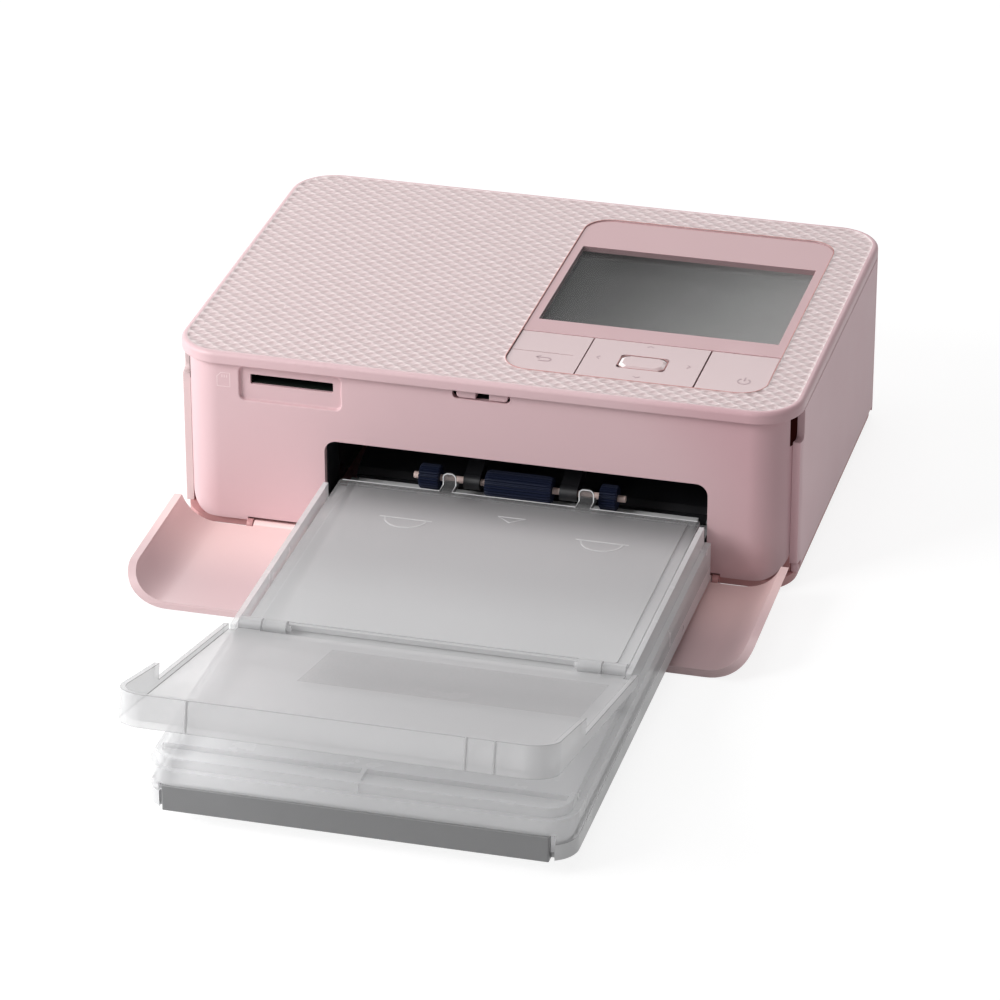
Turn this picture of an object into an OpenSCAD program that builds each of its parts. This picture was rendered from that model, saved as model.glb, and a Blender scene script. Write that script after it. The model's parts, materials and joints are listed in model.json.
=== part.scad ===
// Compact photo printer: a small dye printer that takes postcard sheets from a
// clear cassette pushed into its open front. Millimetres, +Z up. The origin is
// the centre of the body's footprint on the table, and the front faces -Y.

/* [Body] */
// Width of the body
body_w = 182.2; // [176:0.1:200]
// Depth of the body
body_d = 133; // [128:0.1:145]
// Height from the table to the top
body_h = 57.6; // [57:0.1:64]
// Plan radius of the four upright corners
corner_r = 13.5; // [11:0.5:15]
// Thickness of the outer shells
wall = 2.2; // [1.8:0.1:2.4]
// Height of the top cover's rim
rim_h = 3.6; // [3.2:0.1:4]
// Thickness of the top cover's plate
cover_t = 2; // [1.6:0.1:2.1]
// Thickness of the base plate
base_t = 2.5; // [2.2:0.1:2.8]
// Height of the rubber feet below the base
foot_h = 1.5; // [1.2:0.1:1.7]
// Radius of a rubber foot
foot_r = 6; // [5:0.5:7]
// Width of the finger slot at the front edge of each side
finger_slot_w = 3.5; // [2.5:0.5:5]
// Height of the finger slot's lower end
finger_slot_z = 45; // [42:0.5:47]

/* [Front] */
// Width of the cassette opening
opening_w = 112.2; // [111.4:0.1:113.5]
// Sideways place of the opening's centre
opening_x = 10.1; // [9.5:0.1:10.8]
// Height of the opening's top edge
opening_top = 32.5; // [31.5:0.5:33]
// Radius of the opening's top corners
opening_r = 3.5; // [2:0.5:6]
// Radius of the front panel's lower corners
fascia_foot_r = 8; // [5:0.5:10]
// Width of the memory card slot
card_slot_w = 24.6; // [24.4:0.1:25.2]
// Height of the memory card slot
card_slot_h = 3; // [2.6:0.1:3.2]
// Sideways place of the card slot's centre
card_x = -55.8; // [-57:0.1:-55]
// Depth of the shallow scoop round the card slot
scoop_depth = 1.2; // [0.8:0.1:1.4]
// Width of the pill-shaped catch window
catch_window_w = 17.4; // [17:0.1:19]
// Sideways place of the catch window's centre
catch_x = 0.4; // [-1:0.1:1]
// Travel of each door catch
catch_travel = 0.8; // [0.5:0.1:1]

/* [Display and keys] */
// Width of the display and key panel
panel_w = 75.9; // [75:0.1:77]
// Length of the display and key panel
panel_l = 107.9; // [106:0.1:109]
// Distance from the panel's right edge to the body's side
panel_side = 12; // [11.2:0.1:12.6]
// Corner radius of the panel
panel_r = 8; // [6:0.5:9]
// Width of the screen window
screen_w = 70.6; // [68:0.1:71]
// Length of the screen window
screen_l = 53.3; // [50:0.1:54]
// Length of the key area
key_area_l = 26; // [25.5:0.1:27]
// Width of the two-way key at the left
menu_key_w = 21; // [20:0.1:21.4]
// Width of the four-way key in the middle
pad_key_w = 34; // [33:0.1:34.6]
// Width of the middle button
ok_w = 13.3; // [12:0.1:14]
// Length of the middle button
ok_l = 8; // [7:0.1:9]
// Thickness of a key's top plate
key_t = 1.5; // [1.2:0.1:1.6]
// Press of a key
key_press = 0.6; // [0.4:0.1:0.7]

/* [Front door] */
// Length of the open door from its hinge
door_l = 50.4; // [50:0.1:51]
// Depth of the door's side walls
door_depth = 10; // [9:0.1:10.4]
// Tilt of the open door towards the table
door_tilt = 1.6; // [1.4:0.1:1.7]
// Left end of the door's hinge barrel
door_barrel_x = -67.3; // [-68:0.1:-66]
// Length of the door's hinge barrel
door_barrel_l = 135.3; // [134:0.1:136]
// Radius of the door's hinge barrel
door_barrel_r = 1.5; // [1.4:0.05:1.6]
// Radius of the door's hinge pins
door_pin_r = 0.75; // [0.6:0.05:0.9]

/* [Paper cassette] */
// Width of the cassette in front of the printer
tray_w = 114.6; // [113:0.1:115]
// Sideways place of the cassette's centre
tray_x = 10.9; // [10.4:0.1:11.2]
// Length of the wide part of the cassette
tray_l = 160; // [156:0.5:164]
// Width of the tongue that enters the printer
tongue_w = 107.6; // [106:0.1:108.4]
// Length of the tongue
tongue_l = 20; // [19:0.5:20.5]
// Height of the cassette's underside
tray_z = 4.8; // [4.7:0.05:5]
// Height of the grey lower tray
tray_band_h = 4.5; // [4:0.1:5]
// Height of the cassette's side walls near the printer
tray_high = 17.2; // [16.8:0.1:17.6]
// Height of the cassette's front half
tray_low = 14.6; // [14:0.1:15]
// Height of the ledge that runs round the cassette's walls
tray_ledge = 11.7; // [11:0.1:12]
// Width of that ledge
tray_ledge_w = 1.6; // [1.2:0.1:1.8]
// Thickness of the cassette's walls
tray_wall = 1.5; // [1.2:0.1:1.8]
// Plan radius of the cassette's front corners
tray_r = 8; // [6:0.5:10]
// Height of the grey bar across the front
bar_h = 7.2; // [6.5:0.1:8]
// Thickness of the sheet lift plate
lift_t = 1; // [0.8:0.1:1.2]
// Room for sheets between the raised lift plate and the pick-up rollers
lift_room = 0.48; // [0.45:0.01:0.8]

/* [Cassette lids] */
// Distance from the tray's front to the lid hinges
lid_hinge_from_front = 73.6; // [72:0.1:75]
// Height of the lid hinges above the tray's underside
lid_hinge_h = 16.25; // [16:0.05:16.4]
// Length of the outer lid
outer_lid_l = 98.2; // [95:0.1:100]
// Slope of the outer lid laid open towards the front
outer_lid_slope = 13.5; // [12:0.5:16]
// Height of the outer lid's front wall
outer_lid_front_h = 8.8; // [7.5:0.1:10]
// Height of the outer lid's side walls
outer_lid_side_h = 3; // [2.7:0.1:4]
// Length of the tall ears at the outer lid's front corners
outer_lid_ear_l = 34.2; // [28:0.1:36]
// Fall of an ear's top edge over its length
outer_lid_ear_fall = 1.4; // [0:0.1:2]
// Width of the inner lid
inner_lid_w = 105.7; // [104:0.1:106.4]
// Distance from the front panel to the inner lid's rear edge
inner_lid_back = 0.1; // [0:0.1:2]
// Thickness of both lids
lid_t = 1.5; // [1.2:0.1:1.7]
// Radius of the lid hinge pins
lid_pin_r = 0.8; // [0.6:0.05:0.9]

/* [Paper path] */
// Height of the flat part of the sheet's path
paper_z = 22; // [21.9:0.05:22.1]
// Radius of the middle pick-up roller
pickup_mid_r = 4; // [3.7:0.1:4.2]
// Radius of the side pick-up rollers
pickup_side_r = 3.7; // [3.4:0.1:4]
// Radius of the pick-up roller shaft
pickup_shaft_r = 1; // [0.8:0.1:1.2]
// Radius of the shaft that the pick-up arm swings on
pivot_r = 1.5; // [1.3:0.1:1.7]
// Radius of the platen roller
platen_r = 5.5; // [5:0.1:5.6]
// Radius of the capstan roller
capstan_r = 2; // [1.8:0.1:2.1]
// Radius of the pinch roller
pinch_r = 2.4; // [2.2:0.1:2.5]
// Thickness of the frame's steel sheet
plate_t = 1.2; // [1:0.1:1.3]

/* [Ribbon and print head] */
// Outer radius of the ink cassette's two tubes
ink_tube_r = 9.5; // [9:0.1:9.6]
// Wall of the ink cassette
ink_wall = 1.5; // [1.2:0.1:1.7]
// Radius of the full ribbon roll
supply_roll_r = 6.5; // [5:0.1:7]
// Radius of the wound-up ribbon roll
take_up_roll_r = 4.5; // [4:0.1:5]
// Thickness of the ribbon film
film_t = 0.15; // [0.12:0.01:0.18]
// Radius of the print head's pivot shaft
head_pivot_r = 1.5; // [1.3:0.1:1.7]
// Number of fins on the heat sink
fin_count = 5; // [4:1:5]

/* [Gears and motor] */
// Gear module
gear_module = 0.6; // [0.58:0.01:0.62]
// Teeth on the capstan gear
capstan_teeth = 36; // [35:1:37]
// Teeth on the motor pinion
pinion_teeth = 14; // [14:1:16]
// Teeth on the take-up gear
take_up_teeth = 21; // [20:1:22]
// Width of the gears
gear_w = 3.5; // [3:0.1:3.8]
// Radius of the feed motor's can
motor_r = 8.5; // [7.5:0.1:9]
// Room between the feed motor's can and the left side
motor_room = 4.6; // [3.5:0.1:8]

/* [Electronics] */
// Thickness of the circuit boards
board_t = 1.6; // [1.2:0.1:1.7]
// Radius of the power socket's bore
dc_bore_r = 2.8; // [2.6:0.1:2.9]
// Width of the data socket's mouth
usb_w = 9; // [8.6:0.1:9.2]

/* [Fits] */
// Radial clearance of a shaft that turns in its bearing
run_fit = 0.03; // [0.02:0.01:0.08]
// Seam between shells that stand still
seam = 0.1; // [0.05:0.01:0.15]
// Gap between parts that slide or lie on each other
slide_gap = 0.3; // [0.25:0.01:0.35]

/* [Hidden] */
$fn = 64;

// Planes of the body
half_w = body_w / 2;
half_d = body_d / 2;
floor_z = foot_h + base_t;
rim_z = body_h - rim_h;
cover_z = body_h - cover_t;
shell_top = rim_z - seam;
fascia_y = wall - half_d;
fascia_in = fascia_y + wall;
fascia_fit = 0.05;
fascia_back = fascia_in + fascia_fit;
rear_in = half_d - wall;
rear_seam = half_d - corner_r;
side_front = door_depth + slide_gap - half_d;
ink_door_x = half_w - wall;

// Screw posts
post_r = 3;
post_x = half_w - wall - 6.9;
post_front = side_front + 6.2;
post_rear = rear_in - 10.3;
screw_r = 1.2;
screw_head_r = 2.6;
screw_head_h = 1.4;
screw_l = 9;

// Front openings
open_x = [opening_x - opening_w / 2, opening_x + opening_w / 2];
card_z = rim_z - 5.2;
scoop_z = [rim_z - 11.6, rim_z - 1];
catch_z = rim_z - 1.8;
catch_h = 3.4;

// Hinge of the front door
hinge_y = fascia_y - 0.7;
hinge_z = tray_z - slide_gap - door_barrel_r;
door_barrel_end = door_barrel_x + door_barrel_l;
lug_w = 1.7;
lug_r = door_barrel_r + 0.3;

// Hinge of the ink door
ink_hinge_x = half_w - wall / 2;
ink_hinge_z = floor_z + slide_gap + wall / 2;
ink_pin_r = 0.5;

// Display and key panel
panel_x = half_w - panel_side - panel_w;
panel_front = fascia_y + 9.8;
panel_wall = 1.2;
panel_top = body_h - slide_gap;
panel_deck = 1.8;
deck_z = panel_top - panel_deck;
key_board_z = body_h - 7;
key_board_top = key_board_z + 1.2;
bay_x = [panel_x + panel_wall, panel_x + panel_w - panel_wall];
bay_y = [panel_front + panel_wall, panel_front + key_area_l];
key_top = panel_top - 0.1;
key_under = key_top - key_t;
key_edge = 0.2;
key_x0 = panel_x + key_edge;
key_x3 = panel_x + panel_w - key_edge;
key_x1 = key_x0 + menu_key_w;
pad_x = [key_x1 + 0.4, key_x1 + 0.4 + pad_key_w];
key_y = [panel_front + key_edge, bay_y[1] - slide_gap];
pad_mid = [(pad_x[0] + pad_x[1]) / 2, (key_y[0] + key_y[1]) / 2 - 0.2];
dome_top = key_board_top + 0.8;
stem_z = dome_top + key_press + 0.05;
screen_x = panel_x + (panel_w - screen_w) / 2;
screen_y = bay_y[1] + 8.4;

// Boards and sockets
socket_h = 4;
board_z = card_z - socket_h / 2 - board_t;
board_x = [open_x[0] - 32, open_x[0] + 6];
rear_board_x = [open_x[0] - 32, open_x[0] - 8];
rear_board_z = floor_z + 1;
dc_x = rear_board_x[0] + 6.5;
dc_z = rear_board_z + board_t + 4.8;
usb_x = rear_board_x[1] - 6.5;
usb_z = rear_board_z + board_t + 1.7;

// Steel side plates
plate_left = open_x[0] - 6;
plate_right = open_x[1] + 3.8;
plate_front = fascia_in + 1.5;
plate_rear = rear_in - 6.3;
plate_span = [plate_left + plate_t, plate_right];

// Shafts, each as [y, z]
pickup_at = [fascia_y + 9.3, tray_z + 15.5];
pivot_at = [fascia_y + 22.3, tray_z + 21.2];
platen_at = [fascia_y + 72.3, paper_z - platen_r];
capstan_at = [fascia_y + 56.3, paper_z - capstan_r];
pinch_at = [capstan_at[0], paper_z + 0.2 + pinch_r];
journal_r = 1.5;
pinch_journal_r = 1.2;
head_at = [plate_rear - 5, board_z - 3];

// Gears: each follower sits one centre distance from the capstan
function pitch_r(teeth) = gear_module * teeth / 2;
take_up_angle = 117.9;
take_up_reach = pitch_r(capstan_teeth) + pitch_r(take_up_teeth);
take_up_at = capstan_at + take_up_reach * [cos(take_up_angle), sin(take_up_angle)];
motor_at = capstan_at - [pitch_r(capstan_teeth) + pitch_r(pinion_teeth), 0];
supply_at = take_up_at + [48, 0];
gear_x = plate_left - 2 - gear_w;
addendum = 0.8 * gear_module;
dedendum = 1.15 * gear_module;
pressure = 20;
backlash = 0.1;

// Ink cassette
ink_left = plate_span[0] + 4.8;
ink_right = ink_door_x - 2.9;
ink_end = plate_right - 2;
spool_x = [ink_left + 8, ink_end - 4];
film_z = paper_z + 0.25;
sink_z = film_z + 2.75;
head_x = [ink_left + 8, ink_end - 6];

// Paper cassette
tray_side = [tray_x - tray_w / 2, tray_x + tray_w / 2];
tongue_side = [tray_x - tongue_w / 2, tray_x + tongue_w / 2];
tray_back = fascia_y - 3.7;
tray_front = tray_back - tray_l;
tongue_back = tray_back + tongue_l;
band_top = tray_z + tray_band_h;
high_top = tray_z + tray_high;
low_top = tray_z + tray_low;
tray_floor = tray_z + tray_wall;
lid_at = [tray_front + lid_hinge_from_front, tray_z + lid_hinge_h];
lid_barrel_r = lid_pin_r + 1.1;
ledge_z = tray_z + tray_ledge;
lid_edge = tray_ledge_w + tray_wall + slide_gap;
lid_inside = [tray_side[0] + lid_edge, tray_side[1] - lid_edge];
lid_under = lid_at[1] - high_top - slide_gap / 3 - lid_t;
knuckle_l = 6.5;
lift_at = [lid_at[0] + 4, tray_floor + 1.3];
lift_l = tongue_back - 4 - lift_at[0];
lift_tip = pickup_at[1] - pickup_mid_r - lift_room - lift_t / 2;
lift_rise = asin((lift_tip - lift_at[1]) / lift_l);
lift_stub_r = 0.8;
bar_x = [tray_side[0] + 5.2, tray_side[1] - 6];

// Sideways spans of the pick-up parts and of the tabs that pass between them
function beside_tray(spans) = [for (s = spans) [tray_x + s[0], tray_x + s[1]]];
roller_x = beside_tray([[-30.9, -25], [-11.3, 8.2], [22.3, 27.3]]);
arm_blocks = beside_tray([[-17.8, -13], [10.5, 15.7]]);
lid_tabs = beside_tray([[-22.9, -18.9], [17.1, 21.6]]);

// Key stems and their domes
rocker_reach = 6.2;
pad_reach = [12.3, 8];

// Axes that the rocking keys turn on
rock_z = key_under - 0.7;
rock_r = 0.8;
tilt_z = key_under - 0.9;
tilt_r = 0.45;
tilt_x = 10.1;
rock_post_x = key_x1 - 3;

// ---------------------------------------------------------------- helpers

module rounded(size, r) {
    if (r <= 0) square(size);
    else {
        translate([r, 0]) square([size[0] - 2 * r, size[1]]);
        translate([0, r]) square([size[0], size[1] - 2 * r]);
        for (x = [r, size[0] - r], y = [r, size[1] - r])
            translate([x, y]) circle(r);
    }
}

// Upright slab between the given limits, with rounded plan corners
module slab(x, y, z, r = 0) {
    translate([x[0], y[0], z[0]])
        linear_extrude(z[1] - z[0])
            rounded([x[1] - x[0], y[1] - y[0]], r);
}

// Slab whose rounded corners are seen from the front
module front_slab(x, y, z, r = 0) {
    translate([x[0], y[1], z[0]])
        rotate([90, 0, 0])
            linear_extrude(y[1] - y[0])
                rounded([x[1] - x[0], z[1] - z[0]], r);
}

// A side view drawn in (y, z), carried along X
module along_x(x) {
    translate([x[0], 0, 0])
        rotate([90, 0, 90])
            linear_extrude(x[1] - x[0]) children();
}

module rod_x(x, at, r) {
    translate([x[0], at[0], at[1]])
        rotate([0, 90, 0])
            cylinder(h = x[1] - x[0], r = r);
}

module rod_y(y, at, r) {
    translate([at[0], y[0], at[1]])
        rotate([-90, 0, 0])
            cylinder(h = y[1] - y[0], r = r);
}

module rod_z(z, at, r) {
    translate([at[0], at[1], z[0]])
        cylinder(h = z[1] - z[0], r = r);
}

// Plan outline of the body, moved inwards
module outline(inset) {
    translate([inset - half_w, inset - half_d])
        rounded([body_w - 2 * inset, body_d - 2 * inset], corner_r - inset);
}

module outline_ring(inset, thickness) {
    difference() {
        outline(inset);
        outline(inset + thickness);
    }
}

function both_posts() = [for (side = [-1, 1], y = [post_front, post_rear]) [side * post_x, y]];

// Involute tooth: half its angle at radius r, and its outline about the angle mid
function involute(a) = tan(a) * 180 / PI - a;
function half_tooth(teeth, r) =
    let (rp = pitch_r(teeth), rb = rp * cos(pressure))
    (PI * gear_module / 2 - backlash) / (2 * rp) * 180 / PI
        + involute(pressure) - involute(acos(min(1, rb / r)));
function polar(r, a) = [r * cos(a), r * sin(a)];
function tooth(teeth, mid) =
    let (rp = pitch_r(teeth), ra = rp + addendum, rf = rp - dedendum,
         radii = [rf, rp - addendum / 2, rp, rp + addendum / 2, ra])
    concat(
        [for (r = radii) polar(r, mid - half_tooth(teeth, r))],
        [for (i = [len(radii) - 1:-1:0]) polar(radii[i], mid + half_tooth(teeth, radii[i]))]
    );

module gear(teeth, turn, bore_r) {
    difference() {
        polygon([for (k = [0:teeth - 1]) each tooth(teeth, turn + 360 * k / teeth)]);
        circle(bore_r);
    }
}

// Turn of a gear that meshes with the capstan gear in the direction a
function mesh_turn(teeth, a) = a + 180 + 180 / teeth + a * capstan_teeth / teeth;

module placed_gear(x, at, teeth, turn, bore_r) {
    along_x(x) translate(at) gear(teeth, turn, bore_r);
}

// ---------------------------------------------------------------- outer case

module hinge_lug(x) {
    rod_x(x, [hinge_y, hinge_z], lug_r);
    slab(x, [hinge_y, fascia_in], [hinge_z - lug_r, floor_z]);
}

module bottom_case() color("#b89a9e") {
    base_edge = hinge_y + door_barrel_r + 0.4;
    upstand_inset = wall + 0.15;
    upstand_t = 1.5;
    ear_y = [-rear_seam - 1.9, -rear_seam - 0.4];
    ear_r = wall / 2 - 0.15;
    difference() {
        union() {
            difference() {
                translate([0, 0, foot_h])
                    linear_extrude(base_t) outline(1);
                slab([-half_w, half_w], [-half_d - 5, base_edge], [0, body_h]);
            }
            // upstand that the rear and left shells fit over
            difference() {
                translate([0, 0, floor_z])
                    linear_extrude(5) outline_ring(upstand_inset, upstand_t);
                slab([-half_w, half_w], [-half_d, side_front + 6], [0, body_h]);
                slab([rear_board_x[0] - 1, rear_board_x[1] + 1], [rear_in - 5, half_d],
                     [0, body_h]);
                slab([half_w - corner_r, half_w], [side_front - 1, half_d - corner_r + 2],
                     [0, body_h]);
            }
            // rails under the cassette's tongue
            for (x = [tongue_side[0] + 4, tongue_side[1] - 7])
                slab([x, x + 3], [base_edge, tongue_back + 1], [floor_z, tray_z - slide_gap]);
            // pads under the rear board
            for (x = [rear_board_x[0] + 2, rear_board_x[1] - 5])
                slab([x, x + 3], [rear_in - 24, rear_in - 6], [floor_z, rear_board_z]);
            hinge_lug([door_barrel_x - 0.3 - lug_w, door_barrel_x - 0.3]);
            hinge_lug([door_barrel_end + 0.3, door_barrel_end + 0.3 + lug_w]);
            // ear for the ink door's front pin
            slab([ink_hinge_x - ear_r, ink_hinge_x + 0.1], ear_y, [floor_z - 1, ink_hinge_z]);
            rod_y(ear_y, [ink_hinge_x, ink_hinge_z], ear_r);
        }
        for (side = [-1, 1])
            rod_x([side < 0 ? door_barrel_x - 4 : door_barrel_end,
                   side < 0 ? door_barrel_x : door_barrel_end + 4],
                  [hinge_y, hinge_z], door_pin_r);
        rod_y([-rear_seam - 8, -rear_seam], [ink_hinge_x, ink_hinge_z], ink_pin_r);
        for (p = both_posts()) {
            rod_z([0, floor_z + 1], p, screw_r + 0.1);
            rod_z([0, foot_h + screw_head_h + 0.1], p, screw_head_r + 0.2);
        }
        for (p = foot_places()) rod_z([0, foot_h + 0.6], p, foot_r);
    }
}

function foot_places() =
    [for (side = [-1, 1], y = [post_front - 2, post_rear - 2]) [side * (post_x - 10), y]];

module rubber_feet() color("#3a3436") {
    for (p = foot_places()) rod_z([0, foot_h + 0.6], p, foot_r);
}

module case_screws() color("#9a9a9c") {
    for (p = both_posts()) {
        rod_z([foot_h + 0.1, foot_h + 0.1 + screw_head_h], p, screw_head_r);
        rod_z([foot_h + screw_head_h, foot_h + 0.1 + screw_head_h + screw_l], p, screw_r);
    }
}

module rear_housing() color("#cdb0b3") {
    slot_pitch = 3.2;
    vent_count = 7;
    vent_right = half_w - corner_r;
    difference() {
        translate([0, 0, floor_z])
            linear_extrude(shell_top - floor_z)
                intersection() {
                    outline_ring(0, wall);
                    translate([-half_w, rear_seam + seam]) square([body_w, corner_r + 5]);
                }
        front_slab([tongue_side[0] + 3, tongue_side[1] - 4], [rear_in - 1, half_d + 1],
                   [tray_z + 14.2, tray_z + 20.2], 1);
        for (k = [0:vent_count - 1])
            front_slab([vent_right - 1.6 - k * slot_pitch, vent_right - k * slot_pitch],
                       [rear_in - 1, half_d + 1], [rim_z - 18, rim_z - 4], 0.7);
        rod_y([rear_in - 1, half_d + 1], [dc_x, dc_z], dc_bore_r + 0.5);
        front_slab([usb_x - usb_w / 2 - 0.2, usb_x + usb_w / 2 + 0.2],
                   [rear_in - 1, half_d + 1], [usb_z - 1.8, usb_z + 1.8], 1.6);
        rod_y([rear_seam - 1, rear_seam + 4], [ink_hinge_x, ink_hinge_z], ink_pin_r);
    }
}

// One long side of the case, from the finger slot to the rear seam
module side_shell(side, z) {
    difference() {
        translate([0, 0, z[0]])
            linear_extrude(z[1] - z[0])
                intersection() {
                    outline_ring(0, wall);
                    translate([side > 0 ? half_w - corner_r : -half_w, side_front])
                        square([corner_r, rear_seam - seam - side_front]);
                }
        along_x([-half_w - 1, half_w + 1])
            translate([side_front - 10, finger_slot_z])
                rounded([10 + finger_slot_w, 20], finger_slot_w / 2);
    }
}

module left_side_panel() color("#c9a9ad") side_shell(-1, [floor_z, shell_top]);

module ink_door() color("#c9a9ad") {
    difference() {
        union() {
            side_shell(1, [ink_hinge_z, shell_top]);
            rod_y([-rear_seam, rear_seam - seam], [ink_hinge_x, ink_hinge_z], wall / 2);
        }
        slab([half_w - corner_r, half_w + 1], [side_front - 1, -rear_seam],
             [0, ink_hinge_z + 1.4]);
        rod_y([-rear_seam - 1, -rear_seam + 6], [ink_hinge_x, ink_hinge_z],
              ink_pin_r + run_fit);
        rod_y([rear_seam - 6, rear_seam + 1], [ink_hinge_x, ink_hinge_z],
              ink_pin_r + run_fit);
    }
}

module ink_door_pins() color("#c4c6c9") {
    rod_y([-rear_seam - 1.9, -rear_seam + 5], [ink_hinge_x, ink_hinge_z], ink_pin_r);
    rod_y([rear_seam - 5, rear_seam + 3], [ink_hinge_x, ink_hinge_z], ink_pin_r);
}

module top_cover() color("#ecc9cb") {
    difference() {
        union() {
            translate([0, 0, cover_z]) linear_extrude(cover_t) outline(0);
            translate([0, 0, rim_z]) linear_extrude(rim_h - cover_t) outline_ring(0, wall);
            for (p = both_posts()) rod_z([floor_z, cover_z], p, post_r);
        }
        slab([panel_x - seam, panel_x + panel_w + seam],
             [panel_front - seam, panel_front + panel_l + seam],
             [cover_z - 1, body_h + 1], panel_r + seam);
        for (p = both_posts()) rod_z([floor_z - 1, floor_z + screw_l], p, screw_r);
    }
}

module front_panel() color("#d8b6b9") {
    inset = wall + fascia_fit;
    difference() {
        intersection() {
            translate([0, 0, floor_z])
                linear_extrude(cover_z - 0.2 - floor_z)
                    intersection() {
                        outline_ring(inset, wall);
                        translate([-half_w, -half_d])
                            square([body_w, half_d + side_front + 5.5]);
                    }
            front_slab([inset - half_w, half_w - inset], [-half_d, 0],
                       [floor_z, body_h + 20], fascia_foot_r);
        }
        // cassette opening and the room for the door's hinge
        front_slab(open_x, [-half_d, side_front + 3], [-20, opening_top], opening_r);
        slab([door_barrel_x - lug_w - 0.5, door_barrel_end + lug_w + 0.5],
             [-half_d, side_front], [0, hinge_z + lug_r + 0.2]);
        // card slot in its scoop
        front_slab([card_x - card_slot_w / 2 - 3, card_x + card_slot_w / 2 + 2.6],
                   [-half_d, fascia_y + 0.05 + scoop_depth], scoop_z, 1.8);
        front_slab([card_x - card_slot_w / 2, card_x + card_slot_w / 2],
                   [-half_d, fascia_in + 1],
                   [card_z - card_slot_h / 2, card_z + card_slot_h / 2], 0.4);
        front_slab([catch_x - catch_window_w / 2, catch_x + catch_window_w / 2],
                   [-half_d, fascia_in + 1],
                   [catch_z - catch_h / 2, catch_z + catch_h / 2], catch_h / 2 - 0.01);
    }
}

// The open door, drawn flat about its hinge and then tilted to the table
module front_door() color("#dfbabd") {
    top = door_depth - door_barrel_r;
    root = -2.2;
    end_r = top + 1;
    translate([0, hinge_y, hinge_z])
        rotate([door_tilt, 0, 0]) {
            difference() {
                union() {
                    intersection() {
                        front_slab([-half_w, half_w], [-door_l, root],
                                   [-door_barrel_r, 60], corner_r);
                        along_x([-half_w, half_w]) {
                            translate([end_r - door_l, -door_barrel_r])
                                square([door_l - end_r, door_depth]);
                            translate([-door_l, -door_barrel_r])
                                square([end_r, door_barrel_r + 0.2]);
                            translate([end_r - door_l, top - end_r]) circle(end_r);
                        }
                        translate([-half_w, -door_l, -door_barrel_r])
                            cube([body_w, door_l, door_depth]);
                    }
                    rod_x([door_barrel_x, door_barrel_end], [0, 0], door_barrel_r);
                    translate([door_barrel_x, root - 0.5, -door_barrel_r])
                        cube([door_barrel_l, 0.5 - root, wall]);
                }
                front_slab([wall - half_w, half_w - wall], [-door_l - 1, root + 0.5],
                           [wall - door_barrel_r, 60], corner_r - wall);
                for (side = [0, 1])
                    rod_x([side ? door_barrel_end - 8 : door_barrel_x - 1,
                           side ? door_barrel_end + 1 : door_barrel_x + 8],
                          [0, 0], door_pin_r + run_fit);
            }
            // low hook that the two catches hold
            translate([catch_x - 1.4, 0.8 - door_l, wall - door_barrel_r - 0.5])
                cube([3.2, 1.6, 1.7]);
        }
}

module door_hinge_pins() color("#c4c6c9") {
    rod_x([door_barrel_x - 0.3 - lug_w, door_barrel_x + 7], [hinge_y, hinge_z], door_pin_r);
    rod_x([door_barrel_end - 7, door_barrel_end + 0.3 + lug_w], [hinge_y, hinge_z], door_pin_r);
}

// Box behind the front panel that the two door catches slide in
module catch_housing() color("#2b2b2d") {
    x = [catch_x - catch_window_w / 2 - 3, catch_x + catch_window_w / 2 + 3];
    y = [fascia_back, fascia_in + 5.1];
    difference() {
        slab(x, y, [catch_z - 3, catch_z + 3]);
        slab([x[0] + 1.2, x[1] - 1.2], [y[0] - 1, y[1] - 1.2], [catch_z - 1.8, catch_z + 1.8]);
    }
}

// Catch block with a rounded outer end and a square inner end
module catch(outer, inner) {
    y = [fascia_y + 0.4, fascia_in + 3.5];
    z = [catch_z - 1.3, catch_z + 1.3];
    mid = (outer + inner) / 2;
    front_slab([min(outer, inner), max(outer, inner)], y, z, 1.25);
    slab([min(mid, inner), max(mid, inner)], y, z);
}

module left_catch() color("#d2adb1") catch(catch_x - 7.4, catch_x - 1.7);

module right_catch() color("#d2adb1") catch(catch_x + 7.7, catch_x + 2.2);

// ---------------------------------------------------------------- display and keys

module display_frame() color("#e9c3c6") {
    panel_span = [panel_x, panel_x + panel_w];
    panel_reach = [panel_front, panel_front + panel_l];
    lip = 2;
    difference() {
        union() {
            slab(panel_span, panel_reach, [key_board_top, panel_top], panel_r);
            slab([panel_span[0] - lip, panel_span[1] + lip],
                 [panel_reach[0] - lip, panel_reach[1] + lip],
                 [cover_z - 1.5, cover_z - 0.1], panel_r + lip);
        }
        // key area, and the room above its wall that the key plates cover
        difference() {
            slab(bay_x, [bay_y[0], bay_y[1] + 20], [0, body_h + 1], panel_r - panel_wall);
            slab([bay_x[0] - 1, bay_x[1] + 1], [bay_y[1], bay_y[1] + 30], [0, body_h + 2]);
        }
        slab([panel_x - 1, panel_x + panel_w + 1], [panel_front - 1, bay_y[1]],
             [key_under - key_press - slide_gap, body_h + 1]);
        slab(bay_x, [bay_y[1] + panel_wall, panel_reach[1] - panel_wall], [0, deck_z],
             panel_r - panel_wall);
        slab([screen_x, screen_x + screen_w], [screen_y, screen_y + screen_l],
             [0, body_h + 1]);
        // notch that the two-way key's shaft rocks in
        rod_x([panel_x - 1, bay_x[0] + 1], [pad_mid[1], rock_z], rock_r + run_fit);
    }
}

module display_window() color("#4c4e52") {
    slab([screen_x + seam, screen_x + screen_w - seam],
         [screen_y + seam, screen_y + screen_l - seam], [deck_z, panel_top]);
}

module lcd_module() color("#8b8d92") {
    slab([screen_x - 0.6, screen_x + screen_w + 0.6], [screen_y - 2, screen_y + screen_l + 2],
         [deck_z - 3, deck_z]);
}

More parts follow.
